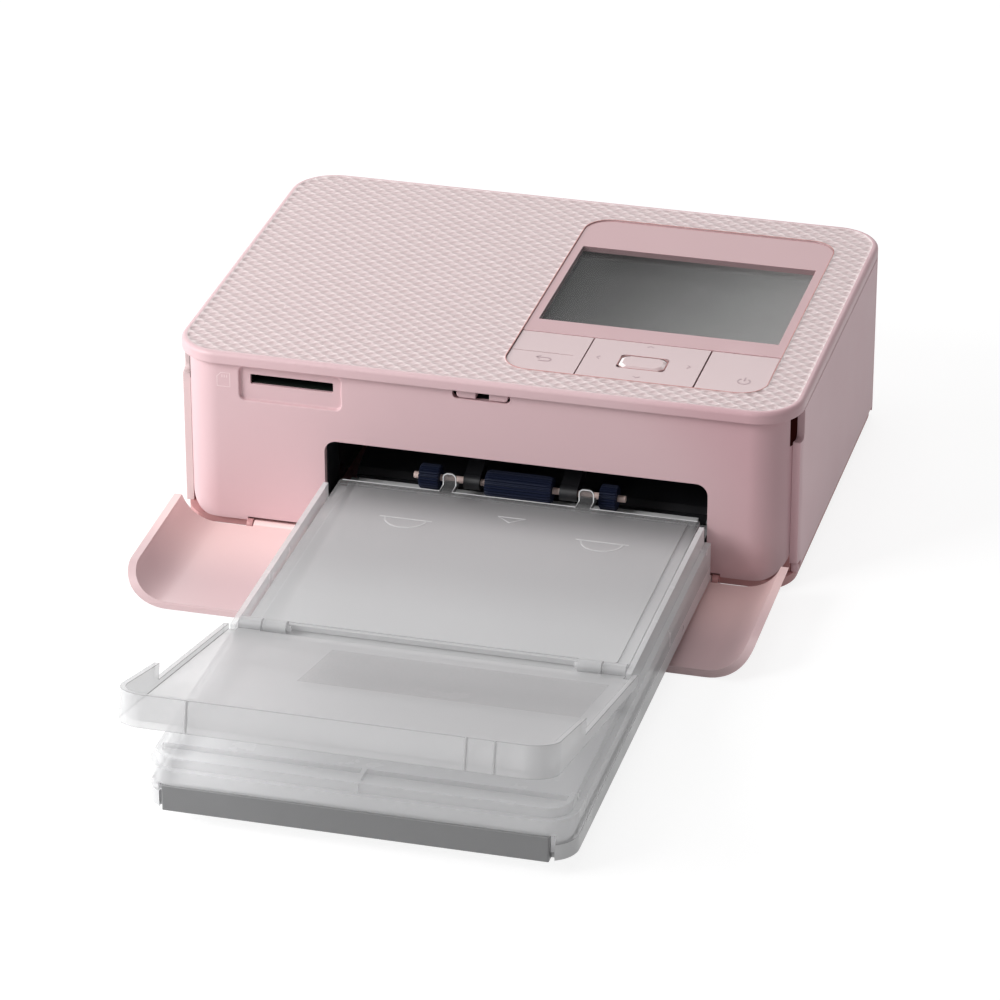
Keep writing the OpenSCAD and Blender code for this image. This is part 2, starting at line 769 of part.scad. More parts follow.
// Key plates share one rounded outline, so that the outer corners follow the panel
module key_plate(x, z) {
    intersection() {
        slab([key_x0, key_x3], [key_y[0], key_y[1] + 20], z, panel_r - key_edge);
        slab(x, key_y, z);
    }
}

module stem(at, r) rod_z([stem_z, key_under], at, r);

module menu_back_key() color("#dcb3b6") {
    mid = pad_mid[1];
    difference() {
        union() {
            key_plate([key_x0, key_x1], [key_under, key_top]);
            rod_x([key_x0, key_x1 - 1], [mid, rock_z], rock_r);
            for (dy = [-rocker_reach, rocker_reach])
                stem([(key_x0 + key_x1) / 2, mid + dy], 1.5);
        }
        slab([key_x0 - 1, key_x1 - 2.9], [mid - 0.15, mid + 0.15], [key_top - 0.5, key_top + 1]);
    }
}

// Ring that turns on two stubs along X and carries the four-way key on two along Y
module pad_gimbal() color("#3a3a3d") {
    difference() {
        union() {
            slab([pad_mid[0] - 8.5, pad_mid[0] + 8.5], [pad_mid[1] - 5.8, pad_mid[1] + 5.8],
                 [key_under - 1.5, key_under - slide_gap]);
            rod_x([pad_mid[0] - tilt_x, pad_mid[0] + tilt_x], [pad_mid[1], tilt_z], tilt_r);
            rod_y([pad_mid[1] - pad_reach[1], pad_mid[1] + pad_reach[1]],
                  [pad_mid[0], tilt_z], tilt_r);
        }
        slab([pad_mid[0] - ok_w / 2 - 0.4, pad_mid[0] + ok_w / 2 + 0.4],
             [pad_mid[1] - ok_l / 2 - 0.4, pad_mid[1] + ok_l / 2 + 0.4], [0, body_h]);
    }
}

module direction_pad() color("#dcb3b6") {
    difference() {
        union() {
            slab(pad_x, key_y, [key_under, key_top]);
            for (a = [0:90:270])
                stem(pad_mid + [pad_reach[0] * cos(a), pad_reach[1] * sin(a)], 1.2);
        }
        rod_y([pad_mid[1] - pad_reach[1] - 0.1, pad_mid[1] + pad_reach[1] + 0.1],
              [pad_mid[0], tilt_z], tilt_r + run_fit);
        slab([pad_mid[0] - ok_w / 2 - 0.4, pad_mid[0] + ok_w / 2 + 0.4],
             [pad_mid[1] - ok_l / 2 - 0.4, pad_mid[1] + ok_l / 2 + 0.4], [0, body_h + 1], 1.2);
    }
}

module ok_button() color("#dcb3b6") {
    slab([pad_mid[0] - ok_w / 2, pad_mid[0] + ok_w / 2],
         [pad_mid[1] - ok_l / 2, pad_mid[1] + ok_l / 2], [key_under, key_top + 0.3], 1);
    stem(pad_mid, 2);
}

module power_key() color("#dcb3b6") {
    key_plate([pad_x[1] + 0.4, key_x3], [key_under, key_top]);
    stem([(pad_x[1] + 0.4 + key_x3) / 2, pad_mid[1]], 1.5);
}

module key_board() color("#2f5a3c") {
    slab([panel_x + 0.3, panel_x + panel_w - 0.3], [panel_front + 0.3, bay_y[1] + 4.5],
         [key_board_z, key_board_top], panel_r - 0.3);
    // posts, notched at the top, that the keys' shafts rock in
    difference() {
        key_posts(0, [key_board_top - 0.5, tilt_z]);
        rod_x([panel_x, panel_x + panel_w], [pad_mid[1], tilt_z], tilt_r + run_fit);
        rod_x([rock_post_x - 1, rock_post_x + 1], [pad_mid[1], rock_z], rock_r + run_fit);
    }
}

module key_posts(gap, z) {
    for (x = [rock_post_x, pad_mid[0] - tilt_x + 0.6, pad_mid[0] + tilt_x - 0.6])
        slab([x - 0.6 - gap, x + 0.6 + gap], [pad_mid[1] - 1.5 - gap, pad_mid[1] + 1.5 + gap], z);
}

module key_dome_sheet() color("#d9d9d6") {
    difference() {
        slab([bay_x[0] + 0.6, bay_x[1] - 0.6], [bay_y[0] + 0.6, bay_y[1] - 0.6],
             [key_board_top, key_board_top + 0.3], panel_r - panel_wall - 0.6);
        key_posts(0.2, [key_board_top - 1, key_board_top + 1]);
    }
    places = concat(
        [for (dy = [-rocker_reach, rocker_reach]) [(key_x0 + key_x1) / 2, pad_mid[1] + dy]],
        [for (a = [0:90:270]) pad_mid + [pad_reach[0] * cos(a), pad_reach[1] * sin(a)]],
        [pad_mid, [(pad_x[1] + 0.4 + key_x3) / 2, pad_mid[1]]]
    );
    for (p = places) rod_z([key_board_top, dome_top], p, 2.2);
}

// ---------------------------------------------------------------- electronics

module main_board() color("#2f5a3c") {
    difference() {
        slab(board_x, [fascia_in + 2.1, plate_rear - 7], [board_z, board_z + board_t]);
        for (p = both_posts()) rod_z([0, body_h], p, post_r + slide_gap);
    }
    // processor, memory and the plug of the display's flat cable
    slab([board_x[0] + 6, board_x[0] + 20], [0, 14], [board_z + board_t, board_z + board_t + 1.2]);
    slab([board_x[0] + 24, board_x[0] + 34], [2, 12], [board_z + board_t, board_z + board_t + 1]);
    slab([board_x[1] - 6, board_x[1] - 2], [18, 40], [board_z + board_t, board_z + board_t + 2]);
}

module card_socket() color("#b9bcbf") {
    z = [board_z + board_t, board_z + board_t + socket_h];
    difference() {
        slab([card_x - card_slot_w / 2 - 2, card_x + card_slot_w / 2 + 2],
             [fascia_back, fascia_in + 29], z);
        slab([card_x - card_slot_w / 2 + 0.1, card_x + card_slot_w / 2 - 0.1],
             [fascia_in - 1, fascia_in + 26], [z[0] + 0.9, z[1] - 0.9]);
    }
}

module power_board() color("#2f5a3c") {
    slab(rear_board_x, [rear_in - 25, rear_in - 1], [rear_board_z, rear_board_z + board_t]);
}

module dc_socket() color("#232325") {
    difference() {
        union() {
            slab([dc_x - 4.5, dc_x + 4.5], [rear_in - 11, rear_in],
                 [rear_board_z + board_t, dc_z + 4.5]);
            rod_y([rear_in, half_d - 0.5], [dc_x, dc_z], dc_bore_r + 0.4);
        }
        rod_y([rear_in - 8, half_d], [dc_x, dc_z], dc_bore_r);
    }
    rod_y([rear_in - 8.5, half_d - 1.5], [dc_x, dc_z], 0.8);
}

module usb_socket() color("#b9bcbf") {
    difference() {
        front_slab([usb_x - usb_w / 2, usb_x + usb_w / 2], [rear_in - 6.5, half_d - 0.4],
                   [usb_z - 1.7, usb_z + 1.7], 1.5);
        front_slab([usb_x - usb_w / 2 + 0.4, usb_x + usb_w / 2 - 0.4], [rear_in - 5.5, half_d],
                   [usb_z - 1.3, usb_z + 1.3], 1.1);
    }
    slab([usb_x - 3.3, usb_x + 3.3], [rear_in - 6, half_d - 1], [usb_z - 0.35, usb_z + 0.35]);
}

// ---------------------------------------------------------------- frame and paper path

module side_plate(x, holes) {
    difference() {
        along_x([x, x + plate_t])
            translate([plate_front, floor_z])
                square([plate_rear - plate_front, board_z - floor_z]);
        for (h = holes) rod_x([x - 1, x + plate_t + 1], h[0], h[1]);
        children();
    }
}

shaft_holes = [
    [pivot_at, pivot_r], [capstan_at, journal_r + run_fit], [pinch_at, pinch_journal_r + run_fit],
    [platen_at, journal_r + run_fit], [head_at, head_pivot_r]
];

module left_side_plate() color("#b7bbc0")
    side_plate(plate_left, concat(shaft_holes, [[take_up_at, 2.2 + run_fit]]));

module right_side_plate() color("#b7bbc0") {
    side_plate(plate_right, shaft_holes) {
        // window that the ink cassette slides through
        for (at = [take_up_at, supply_at])
            rod_x([plate_right - 1, plate_right + 5], at, ink_tube_r + slide_gap);
        slab([plate_right - 1, plate_right + 5],
             [take_up_at[0], supply_at[0]],
             [take_up_at[1] - 2.4, take_up_at[1] + ink_tube_r + slide_gap]);
    }
    rod_x([plate_right + plate_t, plate_right + plate_t + 6], lever_at, 1.5);
}

module upper_guide() color("#1d1d1f") {
    z = opening_top + 0.8;
    slab(plate_span, [fascia_in + 0.5, pivot_at[0] + 8], [z, z + 1.5]);
    slab([plate_span[0], plate_span[1]], [pivot_at[0] + 6.5, pivot_at[0] + 8], [z - 5.8, z + 0.5]);
    for (x = [open_x[0] - 2, open_x[1] + 0.8])
        slab([x, x + 1.2], [fascia_in + 0.5, tongue_back + 1], [floor_z + 1, z + 0.5]);
}

// Ramp that lifts the sheet from the cassette to the capstan
module lower_guide() color("#1d1d1f") {
    y0 = tongue_back + 1.8;
    y1 = capstan_at[0] - capstan_r - 1.6;
    x = [tongue_side[0] + 1, tongue_side[1] - 1.6];
    along_x(x)
        polygon([[y0, tray_z + 8], [y0 + 2.5, tray_z + 10.2], [y0 + 12, tray_z + 13],
                 [y1, paper_z - 0.7], [y1, paper_z - 2.2], [y0 + 12, tray_z + 11.5],
                 [y0 + 2.5, tray_z + 8.7],
                 [y0 + 1.2, tray_z + 7.5]]);
    slab(x, [y0, y0 + 1.5], [floor_z, tray_z + 8.6]);
    slab(x, [y1 - 9, y1 - 7.5], [floor_z, paper_z - 2.8]);
}

module rear_guide() color("#1d1d1f") {
    y0 = platen_at[0] + platen_r + 1;
    y1 = rear_in - 1.8;
    x = [tongue_side[0] + 1, tongue_side[1] - 1.6];
    z1 = tray_z + 14;
    along_x(x)
        polygon([[y0, paper_z - 1.4], [y1, z1], [y1, z1 - 1.5], [y0, paper_z - 2.9]]);
    slab(x, [y0 + 22, y0 + 23.5], [floor_z, paper_z - 3]);
    slab(x, [y1 - 1.5, y1], [floor_z, z1 - 0.5]);
}

// Two steel shafts that stand still: the pick-up arm and the print head swing on them
module pivot_shafts() color("#c4c6c9") {
    rod_x([plate_left, plate_right + plate_t], pivot_at, pivot_r);
    rod_x([plate_left, plate_right + plate_t], head_at, head_pivot_r);
}

module pickup_arm() color("#1d1d1f") {
    arm = pickup_at - pivot_at;
    reach = norm(arm);
    difference() {
        union() {
            for (x = arm_blocks) {
                rod_x(x, pickup_at, 2.4);
                along_x(x)
                    translate(pivot_at)
                        rotate(atan2(arm[1], arm[0]))
                            translate([0, -2.1]) square([reach, 4.2]);
            }
            rod_x([arm_blocks[0][0], arm_blocks[1][1]], pivot_at, pivot_r + 1.4);
        }
        rod_x(plate_span, pivot_at, pivot_r + run_fit);
        rod_x(plate_span, pickup_at, pickup_shaft_r + run_fit);
    }
}

module pickup_shaft() color("#c9c4b4")
    rod_x([roller_x[0][0] - 2, roller_x[2][1] + 2.3], pickup_at, pickup_shaft_r);

// Rubber roller with a ribbed tread
module tread(x, r) {
    ribs = 24;
    along_x(x)
        translate(pickup_at)
            difference() {
                circle(r);
                circle(pickup_shaft_r);
                for (k = [0:ribs - 1])
                    rotate(360 * k / ribs) translate([r - 0.35, -0.2]) square([1, 0.4]);
            }
}

module pickup_rollers() color("#232d49") {
    tread(roller_x[0], pickup_side_r);
    tread(roller_x[1], pickup_mid_r);
    tread(roller_x[2], pickup_side_r);
}

module platen_roller() color("#303033") {
    rod_x([plate_span[0] + 3, plate_span[1] - 3], platen_at, platen_r);
    rod_x([plate_left - 1, plate_right + plate_t + 1], platen_at, journal_r);
}

module capstan_roller() color("#c4c6c9") {
    rod_x([plate_span[0] + 0.5, plate_span[1] - 0.5], capstan_at, capstan_r);
    rod_x([gear_x - 0.5, plate_right + plate_t + 1.5], capstan_at, journal_r);
}

module capstan_gear() color("#e4e0d2")
    placed_gear([gear_x, gear_x + gear_w], capstan_at, capstan_teeth, 0, journal_r);

module pinch_roller() color("#303033") {
    rod_x([plate_span[0] + 2, plate_span[1] - 2], pinch_at, pinch_r);
    rod_x([plate_left - 0.5, plate_right + plate_t + 0.5], pinch_at, pinch_journal_r);
}

bracket_x = gear_x - 2.6 - plate_t;
motor_end = motor_room + wall - half_w;

module feed_motor() color("#a9adb2") {
    difference() {
        union() {
            rod_x([motor_end, bracket_x], motor_at, motor_r);
            rod_x([bracket_x, bracket_x + plate_t + 0.3], motor_at, 2.9);
        }
        rod_x([bracket_x - 7, bracket_x + 3], motor_at, 1 + run_fit);
    }
}

module motor_bracket() color("#b7bbc0") {
    difference() {
        slab([bracket_x, bracket_x + plate_t], [motor_at[0] - 12, motor_at[0] + 12],
             [floor_z, motor_at[1] + 12]);
        rod_x([bracket_x - 1, bracket_x + 3], motor_at, 2.9);
    }
    slab([bracket_x - 10, bracket_x], [motor_at[0] - 12, motor_at[0] + 12],
         [floor_z, floor_z + plate_t]);
}

module motor_pinion() color("#d8c98f") {
    rod_x([bracket_x - 6, gear_x + gear_w + 0.6], motor_at, 1);
    placed_gear([gear_x - 0.4, gear_x + gear_w + 0.4], motor_at, pinion_teeth,
                mesh_turn(pinion_teeth, 180), 1);
}

module take_up_gear() color("#e4e0d2") {
    rod_x([gear_x, ink_left + 4.5], take_up_at, 2.2);
    placed_gear([gear_x, gear_x + gear_w], take_up_at, take_up_teeth,
                mesh_turn(take_up_teeth, take_up_angle), 2.2);
}

// ---------------------------------------------------------------- print head and ribbon

head_leg_y = [platen_at[0] - 6, platen_at[0] + 6];

module head_bracket() color("#b7bbc0") {
    top_z = take_up_at[1] + ink_tube_r + 1.4;
    legs = [[head_x[0], head_x[0] + plate_t], [head_x[1] - plate_t, head_x[1]]];
    difference() {
        union() {
            slab(head_x, [platen_at[0] - 8, head_at[0] + 3], [top_z, top_z + plate_t]);
            for (x = legs) {
                slab(x, head_leg_y, [sink_z, top_z + plate_t]);
                slab(x, [head_at[0] - 3.5, head_at[0] + 3], [head_at[1] - 3, top_z + plate_t]);
            }
        }
        slab([head_x[0] + 18, head_x[1] - 18], [platen_at[0] + 4, head_at[0] - 12],
             [top_z - 1, top_z + 3]);
        rod_x([head_x[0] - 1, head_x[1] + 1], head_at, head_pivot_r + run_fit);
    }
}

module heat_sink() color("#a6aaae") {
    x = [head_x[0] + plate_t, head_x[1] - plate_t];
    y = [platen_at[0] - 7, platen_at[0] + 7];
    slab(x, y, [sink_z, sink_z + 3]);
    for (k = [0:fin_count - 1])
        slab(x, [y[0] + k * 3, y[0] + k * 3 + 1], [sink_z + 2, sink_z + 11]);
}

module thermal_head() color("#d9d6cc") {
    x = [head_x[0] + plate_t, head_x[1] - plate_t];
    slab(x, [platen_at[0] - 5, platen_at[0] + 5], [film_z + 0.75, sink_z]);
    rod_x(x, [platen_at[0], film_z + 1.1], 0.9);
}

module ink_cassette_shell() color("#8f8a92") {
    difference() {
        union() {
            for (at = [take_up_at, supply_at]) rod_x([ink_left, ink_right], at, ink_tube_r);
            slab([ink_left, ink_left + 5], [take_up_at[0], supply_at[0]],
                 [take_up_at[1] + 1, take_up_at[1] + 8]);
            slab([ink_end - 4, ink_right], [take_up_at[0], supply_at[0]],
                 [take_up_at[1] + 1, take_up_at[1] + 8]);
        }
        for (at = [take_up_at, supply_at]) {
            rod_x([ink_left + ink_wall, ink_end], at, ink_tube_r - ink_wall);
            rod_x([ink_end + 2, ink_right - ink_wall], at, ink_tube_r - ink_wall);
            rod_x([ink_left - 1, ink_left + 3], at, 3 + run_fit);
            rod_x([ink_end - 1, ink_end + 3], at, 2 + run_fit);
        }
        // slots that the film leaves and enters by
        slab([spool_x[0] - 1, spool_x[1] + 1],
             [take_up_at[0] + 5.5, take_up_at[0] + ink_tube_r + 0.5],
             [take_up_at[1] - 7, take_up_at[1] - 1.5]);
        slab([spool_x[0] - 1, spool_x[1] + 1],
             [supply_at[0] - ink_tube_r - 0.5, supply_at[0] - 5.5],
             [supply_at[1] - 7, supply_at[1] - 1.5]);
    }
}

module ink_ribbon() color("#4b3d6b") {
    route = [
        [take_up_at[0] + 5, take_up_at[1] - 2.2], [platen_at[0] - 5.6, film_z],
        [platen_at[0] + 5.6, film_z], [supply_at[0] - 7, supply_at[1] - 2.2]
    ];
    half = film_t / 2;
    along_x([spool_x[0] + 1, spool_x[1] - 1])
        polygon(concat([for (p = route) p + [0, half]],
                       [for (i = [len(route) - 1:-1:0]) route[i] - [0, half]]));
}

module spool(at, roll_r) {
    difference() {
        union() {
            rod_x([ink_left + ink_wall + 0.2, ink_end - 0.2], at, 3.4);
            rod_x(spool_x, at, roll_r);
            rod_x([spool_x[0] - 1.5, spool_x[0]], at, ink_tube_r - ink_wall - 0.6);
            rod_x([spool_x[1], spool_x[1] + 1.5], at, ink_tube_r - ink_wall - 0.6);
            rod_x([ink_left, ink_left + 3], at, 3);
            rod_x([ink_end - 1, ink_end + 1.8], at, 2);
        }
        rod_x([ink_left - 1, ink_left + 5.5], at, 2.3);
    }
}

module supply_spool() color("#5a4a78") spool(supply_at, supply_roll_r);

module take_up_spool() color("#5a4a78") spool(take_up_at, take_up_roll_r);

lever_at = [supply_at[0] + 16, supply_at[1] + 3];

// Lever that holds the ink cassette in and lets it out
module eject_lever() color("#3d6f9c") {
    x = [plate_right + plate_t + 0.3, plate_right + plate_t + 4];
    difference() {
        union() {
            rod_x(x, lever_at, 3.2);
            along_x(x)
                translate(lever_at)
                    polygon([[-1, 2], [-6.2, 1.6], [-6.2, 4.4], [0, 5.2], [3, 9], [5.4, 8.4],
                             [2.6, 0]]);
        }
        rod_x([x[0] - 1, x[1] + 1], lever_at, 1.5 + run_fit);
    }
}

// ---------------------------------------------------------------- paper cassette

// Plan of the cassette: the wide part with rounded front corners, and the tongue
module tray_plan(inset) {
    translate([tray_side[0] + inset, tray_front + inset])
        rounded([tray_w - 2 * inset, 40], tray_r - inset);
    translate([tray_side[0] + inset, tray_front + tray_r])
        square([tray_w - 2 * inset, tray_l - tray_r - inset]);
    translate([tongue_side[0] + inset, tray_back - 30])
        square([tongue_w - 2 * inset, tongue_l + 30 - inset]);
}

module tray_base() color("#8d8f92") {
    difference() {
        union() {
            translate([0, 0, tray_z]) linear_extrude(tray_band_h) tray_plan(0);
            slab(bar_x, [tray_front - 0.5, tray_front + 3], [tray_z, tray_z + bar_h], 0.4);
        }
        translate([0, 0, tray_floor]) linear_extrude(20) tray_plan(tray_wall);
        // notches beside the front bar
        for (x = [bar_x[0] - 1.2, bar_x[1]])
            slab([x, x + 1.2], [tray_front - 2, tray_front + 2.2], [tray_z - 1, band_top + 4]);
        // bearings of the lift plate
        for (side = [0, 1])
            rod_x([side ? tray_side[1] - 3 : tray_side[0] + 0.5,
                   side ? tray_side[1] - 0.5 : tray_side[0] + 3],
                  lift_at, lift_stub_r + run_fit);
    }
}

module tray_body() color("#c3c5c8", 0.5) {
    step_y = lid_at[0] - 3.1;
    top_rear = lid_at[0] - 5.4;
    difference() {
        union() {
            // walls, set in above the ledge so that the closed lid's sides fit over them
            difference() {
                union() {
                    translate([0, 0, band_top]) linear_extrude(ledge_z - band_top) tray_plan(0);
                    translate([0, 0, ledge_z - 1])
                        linear_extrude(high_top - ledge_z + 1) tray_plan(tray_ledge_w);
                }
                translate([0, 0, band_top - 1])
                    linear_extrude(ledge_z - tray_wall - band_top + 1) tray_plan(tray_wall);
                translate([0, 0, ledge_z - tray_wall - 1])
                    linear_extrude(30) tray_plan(tray_ledge_w + tray_wall);
                slab([tray_side[0] - 1, tray_side[1] + 1], [tray_front - 1, step_y],
                     [low_top, high_top + 1]);
                slab([tongue_side[0] + 2, tongue_side[1] - 2], [tray_back - 5, tongue_back + 1],
                     [band_top + 2, high_top + 1]);
                slab([tongue_side[0] - 0.5, tongue_side[1] + 0.5],
                     [tray_back - 5, tongue_back + 1], [ledge_z, high_top + 1]);
                slab([tongue_side[0] - 1, tongue_side[1] + 1], [tongue_back - 12, tongue_back + 1],
                     [band_top + 4, high_top + 1]);
            }
            // roof of the front half, with its sunk band near the front
            translate([0, 0, low_top - tray_wall])
                linear_extrude(tray_wall)
                    intersection() {
                        tray_plan(tray_ledge_w);
                        translate([tray_side[0], tray_front + 9])
                            square([tray_w, top_rear - tray_front - 9]);
                    }
            translate([0, 0, low_top - 2 * tray_wall])
                linear_extrude(tray_wall)
                    intersection() {
                        tray_plan(tray_ledge_w);
                        translate([tray_side[0], tray_front])
                            square([tray_w, 10.5]);
                    }
            slab([tray_x - 0.6, tray_x + 0.6], [tray_front + 1, tray_front + 9.5],
                 [low_top - 2 * tray_wall, low_top]);
        }
        slab([bar_x[0] - 1.4, bar_x[1] + 1.4], [tray_front - 2, tray_front + 3.2],
             [0, tray_z + bar_h + 0.1]);
    }
    // moulded pins, one at each side, that both lids turn on
    for (side = [0, 1])
        rod_x([side ? lid_inside[1] - 14.5 : lid_inside[0] - 1.2,
               side ? lid_inside[1] + 1.2 : lid_inside[0] + 14.5], lid_at, lid_pin_r);
}

// Knuckle at either end of a lid, start counted inwards from the tray's wall
module knuckles(start, at) {
    for (side = [0, 1])
        rod_x(side ? [lid_inside[1] - start - knuckle_l, lid_inside[1] - start]
                   : [lid_inside[0] + start, lid_inside[0] + start + knuckle_l],
              at, lid_barrel_r);
}

module inner_lid() color("#b9bbbf", 0.5) {
    x = [tray_x + 0.6 - inner_lid_w / 2, tray_x + 0.6 + inner_lid_w / 2];
    y = [lid_at[0] + lid_barrel_r + slide_gap, fascia_y - inner_lid_back];
    top = high_top - 1;
    start = knuckle_l + 0.4;
    difference() {
        union() {
            slab(x, y, [top - lid_t, top], 1);
            slab([x[0] + 3.4, x[1] - 3.1], [y[0] + 1, y[1] - 2], [top - 0.5, top + 0.4], 1);
            for (tab = lid_tabs)
                slab(tab, [y[1] - 2, y[1] + 6.9], [top - lid_t, top]);
            knuckles(start, lid_at);
            for (side = [0, 1])
                slab(side ? [lid_inside[1] - start - knuckle_l, lid_inside[1] - start]
                          : [lid_inside[0] + start, lid_inside[0] + start + knuckle_l],
                     [lid_at[0], y[0] + 1], [top - lid_t, top]);
        }
        rod_x([tray_side[0], tray_side[1]], lid_at, lid_pin_r + run_fit);
    }
}

outer_side = [tray_side[0], tray_side[1] + 0.5];

// Plan of the outer lid about its hinge, with rounded front corners
module lid_plan(inset, rear) {
    w = outer_side[1] - outer_side[0] - 2 * inset;
    translate([outer_side[0] + inset, inset - outer_lid_l])
        rounded([w, 3 * tray_r], tray_r - inset);
    translate([outer_side[0] + inset, tray_r - outer_lid_l])
        square([w, rear - tray_r + outer_lid_l]);
}

// The outer lid, drawn flat about its hinge and then raised to its slope
module outer_lid() color("#c9cbce", 0.5) {
    // the lid lies open with its rear edge just above the tray's low walls
    neck = (low_top + 0.09 - lid_at[1] - lid_under * cos(outer_lid_slope)) / sin(outer_lid_slope);
    full = outer_side;
    front = -outer_lid_l;
    plate = [lid_under, lid_under + lid_t];
    wall_top = lid_under + outer_lid_front_h;
    ear_end = front + outer_lid_ear_l;
    translate([0, lid_at[0], lid_at[1]])
        rotate([-outer_lid_slope, 0, 0])
            difference() {
                union() {
                    slab(lid_inside, [-neck - 1, -lid_barrel_r - slide_gap], plate);
                    // plate, low side walls, and the tall front wall with its sloping ears
                    difference() {
                        translate([0, 0, lid_under])
                            linear_extrude(outer_lid_front_h) lid_plan(0, -neck);
                        translate([0, 0, lid_under + lid_t])
                            linear_extrude(20) lid_plan(tray_wall, 10);
                        slab([full[0] - 1, full[1] + 1], [ear_end, 40],
                             [lid_under + outer_lid_side_h, 20]);
                        along_x([full[0] - 1, full[1] + 1])
                            polygon([[front + tray_r + 1, wall_top], [front + tray_r + 1, 20],
                                     [ear_end + 1, 20],
                                     [ear_end, wall_top - outer_lid_ear_fall]]);
                    }
                    knuckles(0, [0, 0]);
                    for (side = [0, 1])
                        slab(side ? [lid_inside[1] - knuckle_l, lid_inside[1]]
                                  : [lid_inside[0], lid_inside[0] + knuckle_l],
                             [-lid_barrel_r - 1, 0], plate);
                }
                rod_x([tray_side[0] - 1, tray_side[1] + 1], [0, 0], lid_pin_r + run_fit);
            }
}

// Plate that presses the sheets up to the pick-up rollers
module lift_plate() color("#a9abae") {
    x = [tongue_side[0] + tray_wall + 2, tongue_side[1] - tray_wall - 2];
    translate([0, lift_at[0], lift_at[1]])
        rotate([lift_rise, 0, 0]) {
            rod_x(x, [0, 0], lift_stub_r + 0.3);
            rod_x([tray_side[0] + 0.7, tray_side[1] - 0.7], [0, 0], lift_stub_r);
            slab(x, [0, lift_l], [-lift_t / 2, lift_t / 2]);
        }
}

// Leaf spring under the lift plate
module lift_spring() color("#c4c6c9") {
    leaf_t = 0.4;
    foot_y = lift_at[0] + 46;
    tip_y = lift_at[0] + 75;
    tip_z = lift_at[1] + (tip_y - 3 - lift_at[0]) * tan(lift_rise)
            - lift_t / 2 / cos(lift_rise) - 0.01;
    along_x([tray_x - 6, tray_x + 6])
        polygon([[foot_y, tray_floor], [foot_y + 8, tray_floor], [tip_y - 3, tip_z - leaf_t],
                 [tip_y + 2, tip_z - leaf_t - 0.4], [tip_y + 2, tip_z - 0.4], [tip_y - 3, tip_z],
                 [foot_y + 7.6, tray_floor + leaf_t], [foot_y, tray_floor + leaf_t]]);
}

bottom_case();
rubber_feet();
case_screws();
rear_housing();
left_side_panel();
top_cover();
front_panel();
front_door();
door_hinge_pins();
catch_housing();
left_catch();
right_catch();
ink_door();
ink_door_pins();
display_frame();
display_window();
lcd_module();
menu_back_key();
pad_gimbal();
direction_pad();
ok_button();
power_key();
key_board();
key_dome_sheet();
main_board();
card_socket();
power_board();
dc_socket();
usb_socket();
left_side_plate();
right_side_plate();
upper_guide();
lower_guide();
rear_guide();
pivot_shafts();
pickup_arm();
pickup_shaft();
pickup_rollers();
platen_roller();
capstan_roller();
capstan_gear();
pinch_roller();
feed_motor();
motor_bracket();
motor_pinion();
take_up_gear();
head_bracket();
heat_sink();
thermal_head();
ink_cassette_shell();
ink_ribbon();
supply_spool();
take_up_spool();
eject_lever();
tray_base();
tray_body();
inner_lid();
outer_lid();
lift_plate();
lift_spring();
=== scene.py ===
"""Compact photo printer, dressed on its CAD frame. Sizes in the functions are millimetres."""

import json
import math

import bmesh
import bpy
import numpy as np
from mathutils import Matrix, Vector


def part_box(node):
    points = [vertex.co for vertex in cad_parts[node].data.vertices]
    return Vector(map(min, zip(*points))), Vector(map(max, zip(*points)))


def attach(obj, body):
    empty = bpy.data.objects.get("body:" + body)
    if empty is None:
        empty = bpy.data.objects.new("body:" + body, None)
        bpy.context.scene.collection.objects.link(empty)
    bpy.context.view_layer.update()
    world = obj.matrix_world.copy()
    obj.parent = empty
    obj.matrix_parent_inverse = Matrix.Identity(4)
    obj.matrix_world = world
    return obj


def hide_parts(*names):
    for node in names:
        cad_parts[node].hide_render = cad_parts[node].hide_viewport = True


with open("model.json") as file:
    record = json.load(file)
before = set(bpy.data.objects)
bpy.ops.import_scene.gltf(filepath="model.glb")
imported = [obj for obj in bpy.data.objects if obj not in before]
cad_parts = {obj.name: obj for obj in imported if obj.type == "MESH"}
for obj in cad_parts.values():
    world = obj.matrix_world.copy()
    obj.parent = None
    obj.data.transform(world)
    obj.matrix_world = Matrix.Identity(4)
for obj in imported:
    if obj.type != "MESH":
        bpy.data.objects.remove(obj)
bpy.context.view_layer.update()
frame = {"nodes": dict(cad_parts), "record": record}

MM = 0.001
NODES = frame["nodes"]
BODY_OF = {n: b for b, names in frame["record"]["behaviour"]["bodies"].items() for n in names}
SLOT_OF = {p["node"]: p["material_slot"] for p in frame["record"]["subparts"]}
DRESSED = set()

# Planes and places, as in the CAD. A range is its low and its high end, a rectangle seen from
# above is x0, x1, y0, y1 and the radius of its corners.
HALF_W, HALF_D, TOP, CORNER_R = 91.1, 66.5, 57.6, 13.5
BODY = (-HALF_W, HALF_W, -HALF_D, HALF_D, CORNER_R)
SKIN_INSET, SKIN_DEPTH = 1.7, 0.5           # the dimpled skin, set into the top cover
SEAM_Z = 54.0                               # the top cover's lower edge
FACE_Y = -64.25                             # the front panel's face
PANEL = (3.2, 79.1, -54.5, 53.4, 8.0)       # the opening for the display and the keys
KEY_TOP = 57.2
PAD_MID, POWER_MID, BACK_MID = (41.8, -41.75), (72.07, -46.2), (13.7, -46.2)
SLOT_MID, SLOT_REACH = (-55.8, 48.8), (12.6, 1.8)           # the card slot, across and up
SCOOP_X, SCOOP_Z, SCOOP_Y = (-71.4, -40.6), (42.1, 53.3), -62.8
CARD_X, CARD_Z = (-77.7, -73.9), (46.1, 50.4)               # the card mark
CATCH_X, CATCH_Z, CATCH_R = (-8.3, 9.1), 52.2, 1.7          # the catch window
PICKUP = (-55.0, 20.3)                                      # the pick-up shaft's y and z
TREADS = ((-20.0, -14.1, 3.7), (-0.4, 19.1, 4.0), (33.2, 38.2, 3.7))    # two ends, radius
